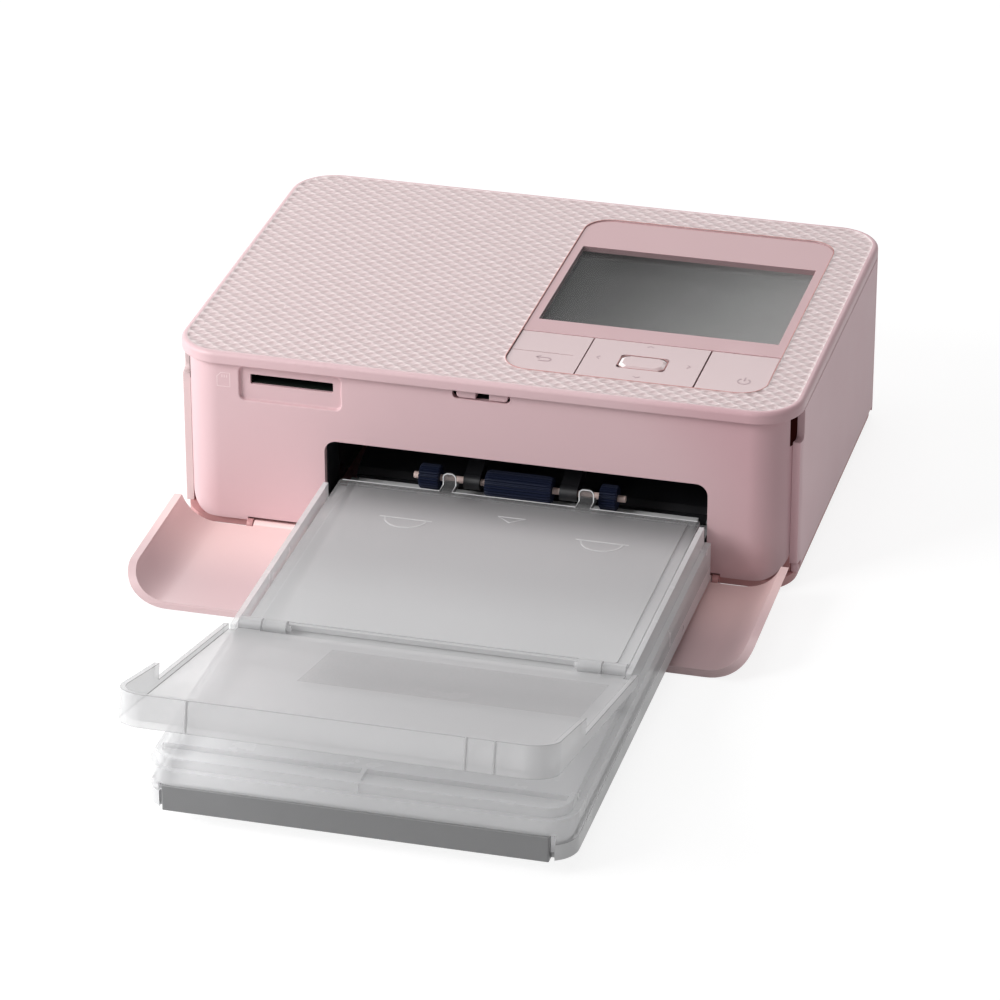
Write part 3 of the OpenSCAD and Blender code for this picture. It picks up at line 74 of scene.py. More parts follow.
# BAR_X, BAR_DEPTH and BAND_DEPTH: the foot's front bar and outer band, which take painted shade.
BAR_X, BAR_DEPTH, BAND_DEPTH = (-41.3, 62.3), 3.4, 8.0      # the cassette's grey foot
LID_HINGE, LID_SLOPE = (-154.4, 21.05), 13.5                # the open outer lid's y, z, angle
INNER_X, INNER_BACK, INNER_TOP = (-40.6, 63.6), -64.7, 20.97            # the inner lid
FIELD_TOP = 21.36                                           # its raised field
TABS, TAB_TOP, TAB_R, TAB_SETBACK = ((-11.85, -8.15), (28.15, 32.35)), 24.6, 1.4, 4.2


# ---------------------------------------------------------------- camera and lamps


def place_camera():
    """The photograph's camera, solved from the body's straight edges."""
    lens = bpy.data.cameras.new("camera")
    lens.lens = 176.177
    lens.sensor_width = 36
    lens.clip_end = 30
    cam = bpy.data.objects.new("camera", lens)
    right = (0.966635604, 0.256154103, -0.00082783041)
    up = (-0.11532857, 0.43809065, 0.89150205)
    back = (0.22872457, -0.86166215, 0.45301591)
    at = (0.324183, -1.263323, 0.650570)
    cam.matrix_world = Matrix([(*axis, at[i]) for i, axis in
                               enumerate(zip(right, up, back))] + [(0, 0, 0, 1)])
    bpy.context.scene.collection.objects.link(cam)
    bpy.context.scene.camera = cam
    bpy.context.scene.view_settings.view_transform = "Standard"


def soft_lamp(name, at, size, watts, gloss=True):
    """A rectangular lamp aimed at the printer. Without gloss it makes no reflections."""
    aim = Vector((0, -0.05, 0.03))
    lamp = bpy.data.lights.new(name, "AREA")
    lamp.shape = "RECTANGLE"
    lamp.size, lamp.size_y = size
    lamp.energy = watts
    obj = bpy.data.objects.new(name, lamp)
    obj.location = at
    obj.rotation_euler = (aim - Vector(at)).to_track_quat("-Z", "Y").to_euler()
    obj.visible_glossy = gloss
    bpy.context.scene.collection.objects.link(obj)


# ---------------------------------------------------------------- materials


def linear(rgb):
    """Scene-linear colour from 0 to 255 values."""
    out = []
    for c in rgb:
        c = c / 255
        out.append(c / 12.92 if c <= 0.04045 else ((c + 0.055) / 1.055) ** 2.4)
    return (*out, 1.0)


class Nodes:
    """Shorthand for wiring a node tree."""

    def __init__(self, tree):
        self.tree = tree

    def add(self, kind, *inputs, named=None, **props):
        """A node with its inputs linked or set: in order, or in named by name or number."""
        node = self.tree.nodes.new(kind)
        for key, value in props.items():
            setattr(node, key, value)
        for i, value in [*enumerate(inputs), *(named or {}).items()]:
            if value is None:
                continue
            if isinstance(value, bpy.types.NodeSocket):
                self.tree.links.new(value, node.inputs[i])
            else:
                node.inputs[i].default_value = value
        return node

    def maths(self, op, a, b=None):
        return self.add("ShaderNodeMath", a, b, operation=op).outputs[0]

    def apart(self, vector):
        return self.add("ShaderNodeSeparateXYZ", vector).outputs

    def along(self, place, way):
        """How far a place lies along a direction."""
        return self.add("ShaderNodeVectorMath", place, way,
                        operation="DOT_PRODUCT").outputs["Value"]


def new_material(name):
    mat = bpy.data.materials.new(name)
    mat.use_nodes = True
    mat.node_tree.nodes.clear()
    return mat, Nodes(mat.node_tree)


def moulded(name, colour, rough, mottle, grain, grain_size=0.35, coat=0.0, metal=0.0,
            alpha=1.0, speckle=0.0, rough_spread=0.08, brushed=None, ior=1.48, shade=None,
            edge_alpha=None, frosted=None):
    """A moulded, rolled or turned surface: uneven colour, fine grain, uneven gloss.

    grain is the height of the fine grain in hundredths of a millimetre, brushed stretches it along
    an axis, shade=(direction, start_mm, end_mm, colour) fades to a second colour as painted light
    and shade, and frosted=(direction, start_mm, end_mm, amount) makes clear plastic thicker to the
    eye.
    """
    mat, n = new_material(name)
    place = n.add("ShaderNodeTexCoord").outputs["Object"]
    broad = n.add("ShaderNodeTexNoise", place, named={"Scale": 28.0, "Detail": 3.0}).outputs[0]
    tone = n.add("ShaderNodeMapRange", broad, 0.3, 0.7, 1 - mottle, 1 + mottle).outputs[0]
    base = n.add("ShaderNodeRGB")
    base.outputs[0].default_value = linear(colour)
    base = base.outputs[0]
    # Painted light and shade: the colour fades to a second one along a direction in object space.
    if shade:
        way, start, end, other = shade
        mix = n.add("ShaderNodeMapRange", n.along(place, way), start * MM, end * MM, 0.0, 1.0,
                    interpolation_type="SMOOTHSTEP").outputs[0]
        base = n.add("ShaderNodeMix", data_type="RGBA",
                     named={0: mix, 6: base, 7: linear(other)}).outputs[2]
    if speckle:
        dots = n.add("ShaderNodeTexNoise", place, named={"Scale": 1600.0, "Detail": 1.0}).outputs[0]
        tone = n.maths("MULTIPLY", tone, n.add("ShaderNodeMapRange", dots, 0.35, 0.65,
                                               1 - speckle, 1 + speckle).outputs[0])
    toned = n.add("ShaderNodeVectorMath", base, tone, operation="MULTIPLY").outputs[0]
    stretch = Vector((1, 1, 1))
    if brushed is not None:
        stretch[brushed] = 0.04
    spread = n.add("ShaderNodeMapping", place, named={"Scale": stretch}).outputs[0]
    fine = n.add("ShaderNodeTexNoise", spread,
                 named={"Scale": 1000.0 / grain_size, "Detail": 2.0}).outputs[0]
    patches = n.add("ShaderNodeTexNoise", place, named={"Scale": 90.0, "Detail": 4.0}).outputs[0]
    gloss = n.add("ShaderNodeMapRange", patches, 0.3, 0.7, max(rough - rough_spread, 0.02),
                  rough + rough_spread).outputs[0]
    relief = n.add("ShaderNodeBump", named={"Height": fine, "Distance": grain * 1e-5,
                                            "Strength": 1.0}).outputs[0]
    shader = n.add("ShaderNodeBsdfPrincipled",
                   named={"Base Color": toned, "Roughness": gloss, "Normal": relief,
                          "Metallic": metal, "IOR": ior, "Coat Weight": coat,
                          "Coat Roughness": 0.06, "Alpha": alpha})
    if edge_alpha is not None:
        facing = n.add("ShaderNodeLayerWeight", 0.35).outputs["Facing"]
        see = n.add("ShaderNodeMapRange", facing, 0.1, 0.9, alpha, edge_alpha).outputs[0]
        if frosted:
            way, start, end, amount = frosted
            more = n.add("ShaderNodeMapRange", n.along(place, way), start * MM, end * MM,
                         amount, 0.0).outputs[0]
            see = n.maths("ADD", see, more)
        mat.node_tree.links.new(see, shader.inputs["Alpha"])
    n.add("ShaderNodeOutputMaterial", shader.outputs[0])
    return mat


def build_materials():
    return {
        # Painted shade: the shell darkens towards the right and the top, standing for the lamps'
        # falloff there.
        "shell": moulded("pink_shell_painted_shade", (217, 185, 189), 0.4, 0.008, 0.15, 0.3,
                         rough_spread=0.02, shade=((1, 0, 0.8), 78, 118, (207, 168, 174))),
        # Painted shade: by height, the dimples are darker and the ridges lighter, standing for the
        # shade inside the dimples.
        "skin": moulded("pink_dimpled_skin_painted_shade", (201, 178, 179), 0.26, 0.008, 0,
                        shade=((0, 0, 1), TOP - 0.28, TOP, (233, 216, 216)),
                        rough_spread=0.02),
        # Painted light: the sides are lighter and paler on the left, where the lamps are, than on
        # the right.
        "side": moulded("pink_side_painted_light", (219, 196, 196), 0.46, 0.008, 0.15, 0.3,
                        rough_spread=0.02, shade=((1, 0, 0), -60, 60, (221, 184, 190))),
        # Painted light: the door is lighter near the body and fades forward to its own colour,
        # lifting the shade that the body and the cassette cast on it.
        "door": moulded("pink_door_painted_light", (246, 214, 212), 0.4, 0.01, 0.15, 0.3,
                        rough_spread=0.02, shade=((0, -1, 0), 72, 104, (214, 186, 188))),
        "base": moulded("pink_base", (198, 146, 146), 0.5, 0.02, 0.3),
        "pane": moulded("pink_pane", (204, 163, 167), 0.09, 0.01, 0.02, 0.8, coat=0.4,
                        rough_spread=0.02),
        "key": moulded("pink_key", (203, 176, 178), 0.2, 0.008, 0.04, 0.5, coat=0.25,
                       rough_spread=0.02),
        "print": moulded("key_print", (160, 130, 134), 0.35, 0.02, 0.1),
        "pale": moulded("pale_print", (232, 208, 210), 0.35, 0.02, 0.1),
        "seam": moulded("seam_line", (188, 118, 114), 0.3, 0.03, 0.1),
        # Painted shade: near black for the sheets in the finger slots, standing for the slots'
        # shade; the low IOR keeps reflections off them.
        "hollow": moulded("slot_painted_shade", (44, 12, 10), 0.8, 0.05, 0.2, ior=1.05),
        # Painted highlight: a near-white, glossy finish for the middle button's sides that face the
        # lamp.
        "polish": moulded("key_bevel_painted_highlight", (252, 242, 242), 0.1, 0.01, 0, coat=0.5),
        "glass": moulded("screen_pane", (60, 60, 61), 0.1, 0.01, 0,
                         alpha=0.2, rough_spread=0.004),
        # Painted reflection: the screen goes from black at the upper left to near white at the
        # lower right, standing for a lamp's reflection in it.
        "screen": moulded("screen_face_painted_reflection", (17, 17, 17), 0.35, 0.01, 0, rough_spread=0.01,
                          shade=((1, -0.35, 0), 2, 92, (240, 240, 239))),
        "socket": moulded("card_socket", (24, 30, 27), 0.4, 0.05, 0.1, ior=1.2),
        "black": moulded("black_plastic", (34, 34, 37), 0.42, 0.05, 0.3),
        "board": moulded("green_board", (38, 84, 56), 0.3, 0.08, 0.2, 0.6, speckle=0.1),
        "film": moulded("dome_film", (214, 214, 210), 0.25, 0.03, 0.2),
        "steel": moulded("plated_steel", (178, 184, 190), 0.3, 0.04, 0.1, 0.5, metal=1.0,
                         speckle=0.05),
        "bright": moulded("bright_steel", (190, 193, 196), 0.2, 0.03, 0.15, 0.4, metal=1.0,
                          brushed=0),
        "screws": moulded("screw_steel", (150, 150, 154), 0.32, 0.05, 0.3, 0.3, metal=1.0),
        "foot": moulded("foot_rubber", (52, 48, 50), 0.75, 0.06, 0.8, 0.4),
        "tread": moulded("tread_rubber", (20, 27, 50), 0.6, 0.04, 0.3, 0.3, ior=1.3),
        "rubber": moulded("roller_rubber", (44, 44, 47), 0.6, 0.05, 0.6, 0.3),
        "gear": moulded("gear_plastic", (226, 223, 209), 0.4, 0.02, 0.2),
        "cream": moulded("cream_shaft", (236, 210, 202), 0.35, 0.03, 0.2),
        "brass": moulded("pinion_brass", (199, 178, 107), 0.28, 0.04, 0.2, 0.4, metal=1.0),
        "can": moulded("motor_can", (168, 173, 179), 0.3, 0.04, 0.2, 0.5, metal=1.0, brushed=0),
        "sink": moulded("sink_aluminium", (166, 170, 174), 0.35, 0.04, 0.3, 0.4, metal=1.0,
                        brushed=0),
        "ceramic": moulded("head_ceramic", (217, 214, 204), 0.12, 0.02, 0.1),
        "ink": moulded("ink_cassette_plastic", (112, 108, 116), 0.22, 0.03, 0.15, alpha=0.75),
        "ribbon": moulded("ribbon_film", (75, 61, 107), 0.15, 0.06, 0.1),
        "spool": moulded("ribbon_roll", (90, 74, 120), 0.25, 0.05, 0.3, 0.3, brushed=0),
        "lever": moulded("blue_lever", (61, 111, 156), 0.4, 0.02, 0.2),
        # Painted light: the tray's grey lightens towards its front, lifting the shade that falls
        # inside the cassette.
        "tray": moulded("grey_tray_painted_light", (226, 226, 227), 0.3, 0.01, 0.1, 0.5,
                        shade=((0, -1, 0), 120, 165, (250, 250, 251))),
        # Painted shade and highlight: a darker copy of the tray's grey for the front bar, lighter
        # along its top edge as a painted highlight.
        "bar": moulded("grey_bar_painted_shade", (132, 132, 133), 0.35, 0.02, 0.2,
                       shade=((0, 0, 1), 11.6, 12.8, (190, 190, 191))),
        # Painted shade: a darker copy of the tray's grey for the foot's outward band.
        "band": moulded("grey_band_painted_shade", (208, 208, 209), 0.35, 0.02, 0.2),
        "clear": moulded("clear_plastic", (244, 244, 245), 0.26, 0.01, 0, alpha=0.3,
                         edge_alpha=0.48, rough_spread=0.02, ior=1.3,
                         frosted=((0, -1, 0), 68, 160, 0.25)),
        "lid": moulded("clear_lid", (223, 223, 224), 0.34, 0.01, 0, alpha=0.33,
                       edge_alpha=0.46, rough_spread=0.02, ior=1.3),
        # Painted dark line: a darker, more opaque finish on the outer lid's rounded edges, standing
        # for how its clear edges bend the light.
        "line": moulded("clear_lid_painted_dark_edge", (150, 150, 151), 0.2, 0.01, 0, alpha=0.7),
        # Painted shade: the inner lid's grey darkens towards the printer's mouth, standing for the
        # body's shadow on it.
        "inner": moulded("lid_painted_shade", (100, 100, 101), 0.3, 0.01, 0, alpha=0.45,
                         edge_alpha=0.6, rough_spread=0.02, ior=1.3,
                         shade=((0, -1, 0), 58, 90, (216, 216, 217))),
        # Painted highlight: near-white lines on the inner lid's rear edge and round its tabs.
        "bead": moulded("painted_highlight_edge", (246, 246, 247), 0.2, 0.01, 0, alpha=0.9),
        "emboss": moulded("embossed_line", (240, 240, 241), 0.2, 0.01, 0, alpha=0.5),
        # Painted highlight: a lighter, more opaque finish on the rounded edges of clear plastic and
        # on the outer lid's ribs, standing for the light their edges catch.
        "rim": moulded("clear_painted_edge_highlight", (200, 200, 201), 0.14, 0.01, 0, alpha=0.65,
                       rough_spread=0.03),
        # A thin grey translucent band on the outer lid.
        "band_grey": moulded("grey_translucent_band", (206, 206, 207), 0.3, 0.01, 0, alpha=0.2,
                         rough_spread=0.03),
        "plate": moulded("lift_plate", (214, 214, 215), 0.35, 0.02, 0.15),
    }


# ---------------------------------------------------------------- working on meshes


def merged_copy(node):
    """The CAD node's own faces in a bmesh, joined up and with flat faces made whole."""
    bm = bmesh.new()
    bm.from_mesh(NODES[node].data)
    bmesh.ops.remove_doubles(bm, verts=bm.verts, dist=2e-6)
    bmesh.ops.dissolve_degenerate(bm, dist=1e-6, edges=bm.edges)
    bmesh.ops.dissolve_limit(bm, angle_limit=math.radians(0.6), verts=bm.verts, edges=bm.edges)
    return bm


def soften(bm, width, segments, where=None, finish_index=-1):
    """Rounds the sharp edges for whose middle, in mm, where(middle) holds."""
    sharp = math.radians(32)
    picked = []
    for e in bm.edges:
        if len(e.link_faces) != 2 or e.calc_length() < 1e-6 or e.calc_face_angle(0) < sharp:
            continue
        mid = (e.verts[0].co + e.verts[1].co) / 2 / MM
        if where is None or where(mid):
            picked.append(e)
    if picked:
        bmesh.ops.bevel(bm, geom=picked, offset=width * MM, offset_type="OFFSET",
                        segments=segments, profile=0.5, affect="EDGES", clamp_overlap=True,
                        material=finish_index)


def to_object(bm, name):
    mesh = bpy.data.meshes.new(name)
    bm.to_mesh(mesh)
    bm.free()
    piece = bpy.data.objects.new(name, mesh)
    bpy.context.scene.collection.objects.link(piece)
    return piece


def finish_piece(piece, finish, angle=38):
    """Smooth shading that keeps flats flat, and the finish."""
    piece.data.polygons.foreach_set("use_smooth", [True] * len(piece.data.polygons))
    piece.data.set_sharp_from_angle(angle=math.radians(angle))
    even = piece.modifiers.new("flat_faces", "WEIGHTED_NORMAL")
    even.keep_sharp = True
    for name in finish.split():
        piece.data.materials.append(MATERIALS[name])
    return piece


def stands_for(piece, node):
    """The piece takes the CAD node's place and body."""
    DRESSED.add(node)
    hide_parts(node)
    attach(piece, BODY_OF[node])
    return piece


def belongs(piece, node):
    """A small piece that goes with a CAD node."""
    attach(piece, BODY_OF[node])


def dressed(node, finish, edge, segments, extra=()):
    """The CAD node with rounded edges. On clear plastic the edges take a second finish: a painted
    highlight with the rim finish, a painted dark line with the line finish. extra holds wider
    roundings that come first: (width, segments, where).
    """
    bm = merged_copy(node)
    painted_edge_index = 1 if finish.endswith((" rim", " line")) else -1
    for width, steps, where in extra:
        soften(bm, width, steps, where, painted_edge_index)
    soften(bm, edge, segments, finish_index=painted_edge_index)
    piece = finish_piece(to_object(bm, node + "_dressed"), finish)
    return stands_for(piece, node)


def prism(name, outline, z0, z1):
    """A straight-walled solid on a plan outline, in mm."""
    bm = bmesh.new()
    low = [bm.verts.new((x * MM, y * MM, z0 * MM)) for x, y in outline]
    face = bm.faces.new(low)
    up = bmesh.ops.extrude_face_region(bm, geom=[face])["geom"]
    bmesh.ops.translate(bm, verts=[v for v in up if isinstance(v, bmesh.types.BMVert)],
                        vec=(0, 0, (z1 - z0) * MM))
    bmesh.ops.recalc_face_normals(bm, faces=bm.faces)
    return to_object(bm, name)


def widened(rect, by):
    x0, x1, y0, y1, r = rect
    return x0 - by, x1 + by, y0 - by, y1 + by, r + by


def arc(cx, cy, r, start, end, steps):
    """Points on a round line between two angles in degrees."""
    turns = [math.radians(start + (end - start) * k / steps) for k in range(steps + 1)]
    return [(cx + r * math.cos(a), cy + r * math.sin(a)) for a in turns]


def round_rect(x0, x1, y0, y1, r):
    """The outline of a rounded rectangle."""
    return [point for cx, cy, start in ((x1 - r, y1 - r, 0), (x0 + r, y1 - r, 90),
                                        (x0 + r, y0 + r, 180), (x1 - r, y0 + r, 270))
            for point in arc(cx, cy, r, start, start + 90, 16)]


def cut_away(piece, cutter):
    """Takes the cutter's space out of the piece, and the cutter out of the scene."""
    tool = piece.modifiers.new("cut", "BOOLEAN")
    tool.operation = "DIFFERENCE"
    tool.solver = "EXACT"
    tool.object = cutter
    bake(piece)
    bpy.data.objects.remove(cutter)


def bake(piece):
    """Turns the modifiers' result into the piece's own mesh."""
    bpy.context.view_layer.update()
    solved = piece.evaluated_get(bpy.context.evaluated_depsgraph_get())
    mesh = bpy.data.meshes.new_from_object(solved)
    piece.modifiers.clear()
    piece.data = mesh


# ---------------------------------------------------------------- geometry nodes


def node_tree(name, inputs):
    """A geometry tree with named inputs, each (name, socket type, default)."""
    tree = bpy.data.node_groups.new(name, "GeometryNodeTree")
    tree.interface.new_socket("Geometry", in_out="INPUT", socket_type="NodeSocketGeometry")
    for label, kind, value in inputs:
        socket = tree.interface.new_socket(label, in_out="INPUT", socket_type=kind)
        if value is not None:
            socket.default_value = value
    tree.interface.new_socket("Geometry", in_out="OUTPUT", socket_type="NodeSocketGeometry")
    n = Nodes(tree)
    return n, n.add("NodeGroupInput").outputs


def close_tree(n, geometry, material):
    """Ends a tree with real geometry in its material."""
    whole = n.add("GeometryNodeRealizeInstances", geometry).outputs[0]
    finished = n.add("GeometryNodeSetMaterial", whole, named={"Material": material}).outputs[0]
    n.add("NodeGroupOutput", finished)


def grown(name, n, values):
    """The mesh that a tree makes from the given values."""
    seed = bpy.data.objects.new(name, bpy.data.meshes.new(name))
    bpy.context.scene.collection.objects.link(seed)
    mod = seed.modifiers.new("grow", "NODES")
    mod.node_group = n.tree
    for item in n.tree.interface.items_tree:
        if item.item_type == "SOCKET" and item.in_out == "INPUT" and item.name in values:
            mod[item.identifier] = values[item.name]
    bake(seed)
    return seed


def dimple_tree():
    """A diamond net of fine ridges that peak where they cross, a dimple in every cell."""
    n, given = node_tree("dimpled_skin", [
        ("Pitch X", "NodeSocketFloat", 0.0049), ("Pitch Y", "NodeSocketFloat", 0.00417),
        ("Cells", "NodeSocketInt", 72), ("Steps", "NodeSocketInt", 6),
        ("Depth", "NodeSocketFloat", 0.00045), ("Height", "NodeSocketFloat", TOP * MM),
        ("Ridge", "NodeSocketFloat", 0.6), ("Sharpness", "NodeSocketFloat", 3.0),
        ("Half X", "NodeSocketFloat", (HALF_W + 0.5) * MM),
        ("Half Y", "NodeSocketFloat", (HALF_D + 0.5) * MM),
        ("Material", "NodeSocketMaterial", None)])
    verts = n.maths("ADD", n.maths("MULTIPLY", given["Cells"], given["Steps"]), 1.0)
    sheet = n.add("GeometryNodeMeshGrid", given["Cells"], given["Cells"], verts, verts).outputs[0]
    u, v, _ = n.apart(n.add("GeometryNodeInputPosition").outputs[0])
    x = n.maths("MULTIPLY", n.maths("ADD", u, v), n.maths("MULTIPLY", given["Pitch X"], 0.5))
    y = n.maths("MULTIPLY", n.maths("SUBTRACT", v, u), n.maths("MULTIPLY", given["Pitch Y"], 0.5))
    waves = []
    for value in (u, v):
        wave = n.maths("COSINE", n.maths("MULTIPLY", value, math.pi))
        waves.append(n.maths("POWER", n.maths("ABSOLUTE", wave), given["Sharpness"]))
    ridge = n.maths("MULTIPLY", n.maths("MAXIMUM", *waves), given["Ridge"])
    peak = n.maths("MULTIPLY", n.maths("MULTIPLY", *waves),
                   n.maths("SUBTRACT", 1.0, given["Ridge"]))
    sunk = n.maths("SUBTRACT", 1.0, n.maths("ADD", ridge, peak))
    z = n.maths("SUBTRACT", given["Height"], n.maths("MULTIPLY", sunk, given["Depth"]))
    at = n.add("ShaderNodeCombineXYZ", x, y, z).outputs[0]
    laid = n.add("GeometryNodeSetPosition", sheet, named={"Position": at}).outputs[0]
    place = n.apart(n.add("GeometryNodeInputPosition").outputs[0])
    far = n.maths("MAXIMUM",
                  n.maths("GREATER_THAN", n.maths("ABSOLUTE", place[0]), given["Half X"]),
                  n.maths("GREATER_THAN", n.maths("ABSOLUTE", place[1]), given["Half Y"]))
    kept = n.add("GeometryNodeDeleteGeometry", laid, far).outputs[0]
    close_tree(n, n.add("GeometryNodeSetShadeSmooth", kept).outputs[0], given["Material"])
    return n


# ---------------------------------------------------------------- top cover


def rect_distance(p, x0, x1, y0, y1, r):
    """Distance to a rounded rectangle, negative inside, and the nearest point on its line."""
    centre = np.array([(x0 + x1) / 2, (y0 + y1) / 2])
    half = np.array([(x1 - x0) / 2 - r, (y1 - y0) / 2 - r])
    d = p - centre
    sign = np.where(d < 0, -1.0, 1.0)
    q = np.abs(d) - half
    over = np.maximum(q, 0)
    reach = np.linalg.norm(over, axis=1)
    distance = reach + np.minimum(q.max(axis=1), 0) - r
    corner = (q > 0).all(axis=1) | (reach > r)
    unit = over / np.maximum(reach, 1e-9)[:, None]
    on_corner = np.minimum(np.abs(d), half) + unit * r
    on_side = np.abs(d)
    wider = q[:, 0] > q[:, 1]
    on_side[wider, 0] = half[0] + r
    on_side[~wider, 1] = half[1] + r
    nearest = centre + sign * np.where(corner[:, None], on_corner, on_side)
    return distance, nearest


def trimmed_net():
    """Points, in mm, and faces of the dimpled net, cut to the rim and to the display's opening
    and flat along both.
    """
    fade, gap = 0.5, 0.06
    raw = grown("skin_sheet", dimple_tree(), {"Material": MATERIALS["skin"]})
    count = len(raw.data.vertices)
    co = np.zeros(count * 3)
    raw.data.vertices.foreach_get("co", co)
    co = co.reshape(-1, 3) / MM
    faces = np.array([f.vertices[:] for f in raw.data.polygons])
    bpy.data.objects.remove(raw)
    out_d, out_p = rect_distance(co[:, :2], *widened(BODY, -SKIN_INSET))
    in_d, in_p = rect_distance(co[:, :2], *widened(PANEL, gap))
    lost = (out_d > 0) | (in_d < 0)
    keep = ~lost[faces].all(axis=1)
    near = np.minimum(-out_d, in_d)
    co[:, 2] = TOP - (TOP - co[:, 2]) * np.clip(near / fade, 0, 1)
    co[out_d > 0, :2] = out_p[out_d > 0]
    co[in_d < 0, :2] = in_p[in_d < 0]
    faces = faces[keep]
    used = np.unique(faces)
    place = np.full(count, -1)
    place[used] = np.arange(len(used))
    return co[used], place[faces]


def top_skin():
    """The dimpled skin, with a short wall down from its edges."""
    points, faces = trimmed_net()
    mesh = bpy.data.meshes.new("top_cover_skin")
    mesh.from_pydata((points * MM).tolist(), [], faces.tolist())
    bm = bmesh.new()
    bm.from_mesh(mesh)
    bmesh.ops.dissolve_degenerate(bm, dist=2e-6, edges=bm.edges)
    rim = [e for e in bm.edges if e.is_boundary]
    skirt = bmesh.ops.extrude_edge_only(bm, edges=rim)["geom"]
    bmesh.ops.translate(bm, verts=[v for v in skirt if isinstance(v, bmesh.types.BMVert)],
                        vec=(0, 0, -SKIN_DEPTH * MM))
    bmesh.ops.recalc_face_normals(bm, faces=bm.faces)
    if sum(f.normal.z for f in bm.faces) < 0:
        bmesh.ops.reverse_faces(bm, faces=bm.faces)
    skin = to_object(bm, "top_cover_skin")
    skin.data.polygons.foreach_set("use_smooth", [True] * len(skin.data.polygons))
    skin.data.set_sharp_from_angle(angle=math.radians(60))
    skin.data.materials.append(MATERIALS["skin"])
    belongs(skin, "top_cover")


def on_outline(mid):
    distance, _ = rect_distance(np.array([[mid.x, mid.y]]), *BODY)
    return abs(distance[0]) < 0.1


def top_cover():
    """The smooth cover, with a pocket that the dimpled skin lies in."""
    piece = to_object(merged_copy("top_cover"), "top_cover_rim")
    cutter = prism("pocket", round_rect(*widened(BODY, -SKIN_INSET)),
                   TOP - SKIN_DEPTH - 0.05, TOP + 1)
    cut_away(piece, cutter)
    bm = bmesh.new()
    bm.from_mesh(piece.data)
    bpy.data.objects.remove(piece)
    bmesh.ops.remove_doubles(bm, verts=bm.verts, dist=2e-6)
    soften(bm, 1.25, 5, lambda mid: mid.z > TOP - 0.05 and on_outline(mid))
    soften(bm, 0.35, 2, lambda mid: abs(mid.z - SEAM_Z) < 0.1 and on_outline(mid))
    piece = finish_piece(to_object(bm, "top_cover_rim"), "shell")
    stands_for(piece, "top_cover")
    top_skin()


# ---------------------------------------------------------------- keys


def on_top(x, y, h):
    return Vector((x, y, h))


def on_front(x, z, h):
    return Vector((x, -h, z))


def flat_mark(name, strokes, z, node, height=0.05, width=0.5, finish="print", face=on_top):
    """Raised strokes on a face that lies at z: each is a line of points, drawn as a flat band.
    A line that ends where it starts is a ring.
    """
    bm = bmesh.new()
    for line in strokes:
        closed = line[0] == line[-1]
        points = [Vector((x, y, 0)) for x, y in (line[:-1] if closed else line)]
        rows = []
        for i, p in enumerate(points):
            before = points[i - 1] if closed or i else p
            after = points[(i + 1) % len(points)] if closed or i < len(points) - 1 else p
            along = (after - before).normalized()
            across = Vector((-along.y, along.x, 0)) * width / 2
            rows.append([bm.verts.new(face(p.x + s * across.x, p.y + s * across.y, z + h) * MM)
                         for s, h in ((-1, 0), (-1, height), (1, height), (1, 0))])
        pairs = list(zip(rows, rows[1:])) + ([(rows[-1], rows[0])] if closed else [])
        for a, b in pairs:
            for k in range(4):
                bm.faces.new((a[k], a[(k + 1) % 4], b[(k + 1) % 4], b[k]))
        if not closed:
            bm.faces.new(rows[0][::-1])
            bm.faces.new(rows[-1])
    bmesh.ops.recalc_face_normals(bm, faces=bm.faces)
    piece = to_object(bm, name)
    piece.data.materials.append(MATERIALS[finish])
    belongs(piece, node)


def octagon(mid, a, b, cut):
    """A long octagon about mid: its half sizes, and what each corner loses."""
    x, y = mid
    return [(x + px, y + py) for px, py in
            ((a, cut - b), (a, b - cut), (a - cut, b), (cut - a, b),
             (-a, b - cut), (-a, cut - b), (cut - a, -b), (a - cut, -b))]


def key_marks():
    """Four arrows, the power mark and a bent arrow for back, sunk a hair into their keys."""
    z = KEY_TOP - 0.02
    x, y = PAD_MID
    depth, half = 0.75, 0.95
    chevrons = []
    for cx, cy, dx, dy in ((x - 13.2, y + 0.8, -1, 0), (x + 13.2, y + 0.8, 1, 0),
                           (x - 0.2, y + 11.0, 0, 1), (x + 0.3, y - 9.4, 0, -1)):
        tail_x, tail_y = cx - dx * depth / 2, cy - dy * depth / 2
        chevrons.append([(tail_x - dy * half, tail_y - dx * half),
                         (cx + dx * depth / 2, cy + dy * depth / 2),
                         (tail_x + dy * half, tail_y + dx * half)])
    flat_mark("pad_arrows", chevrons, z, "direction_pad", width=0.4)
    x, y = POWER_MID
    flat_mark("power_mark", [arc(x, y, 1.75, 125, 415, 28), [(x, y + 0.2), (x, y + 2.6)]],
              z, "power_key")
    x, y = BACK_MID
    bend = arc(x + 1.2, y, 1.1, 90, -90, 10)
    head = [(x - 1.0, y + 2.1), (x - 2.1, y + 1.1), (x - 1.0, y + 0.1)]
    flat_mark("back_mark", [[(x - 2.0, y + 1.1), (x + 1.2, y + 1.1)] + bend
                            + [(x - 1.2, y - 1.1)], head], z, "menu_back_key")


def display_seams():
    """Thin glossy lines where the display's frame and the middle button meet their openings."""
    ring = round_rect(*widened(PANEL, 0.1))
    flat_mark("display_seam", [ring + ring[:1]], TOP - 0.06, "top_cover", 0.09, 0.26, "seam")
    ring = octagon(PAD_MID, 6.85, 4.2, 1.75)
    flat_mark("ok_seam", [ring + ring[:1]], KEY_TOP - 0.03, "direction_pad", 0.05, 0.2, "seam")


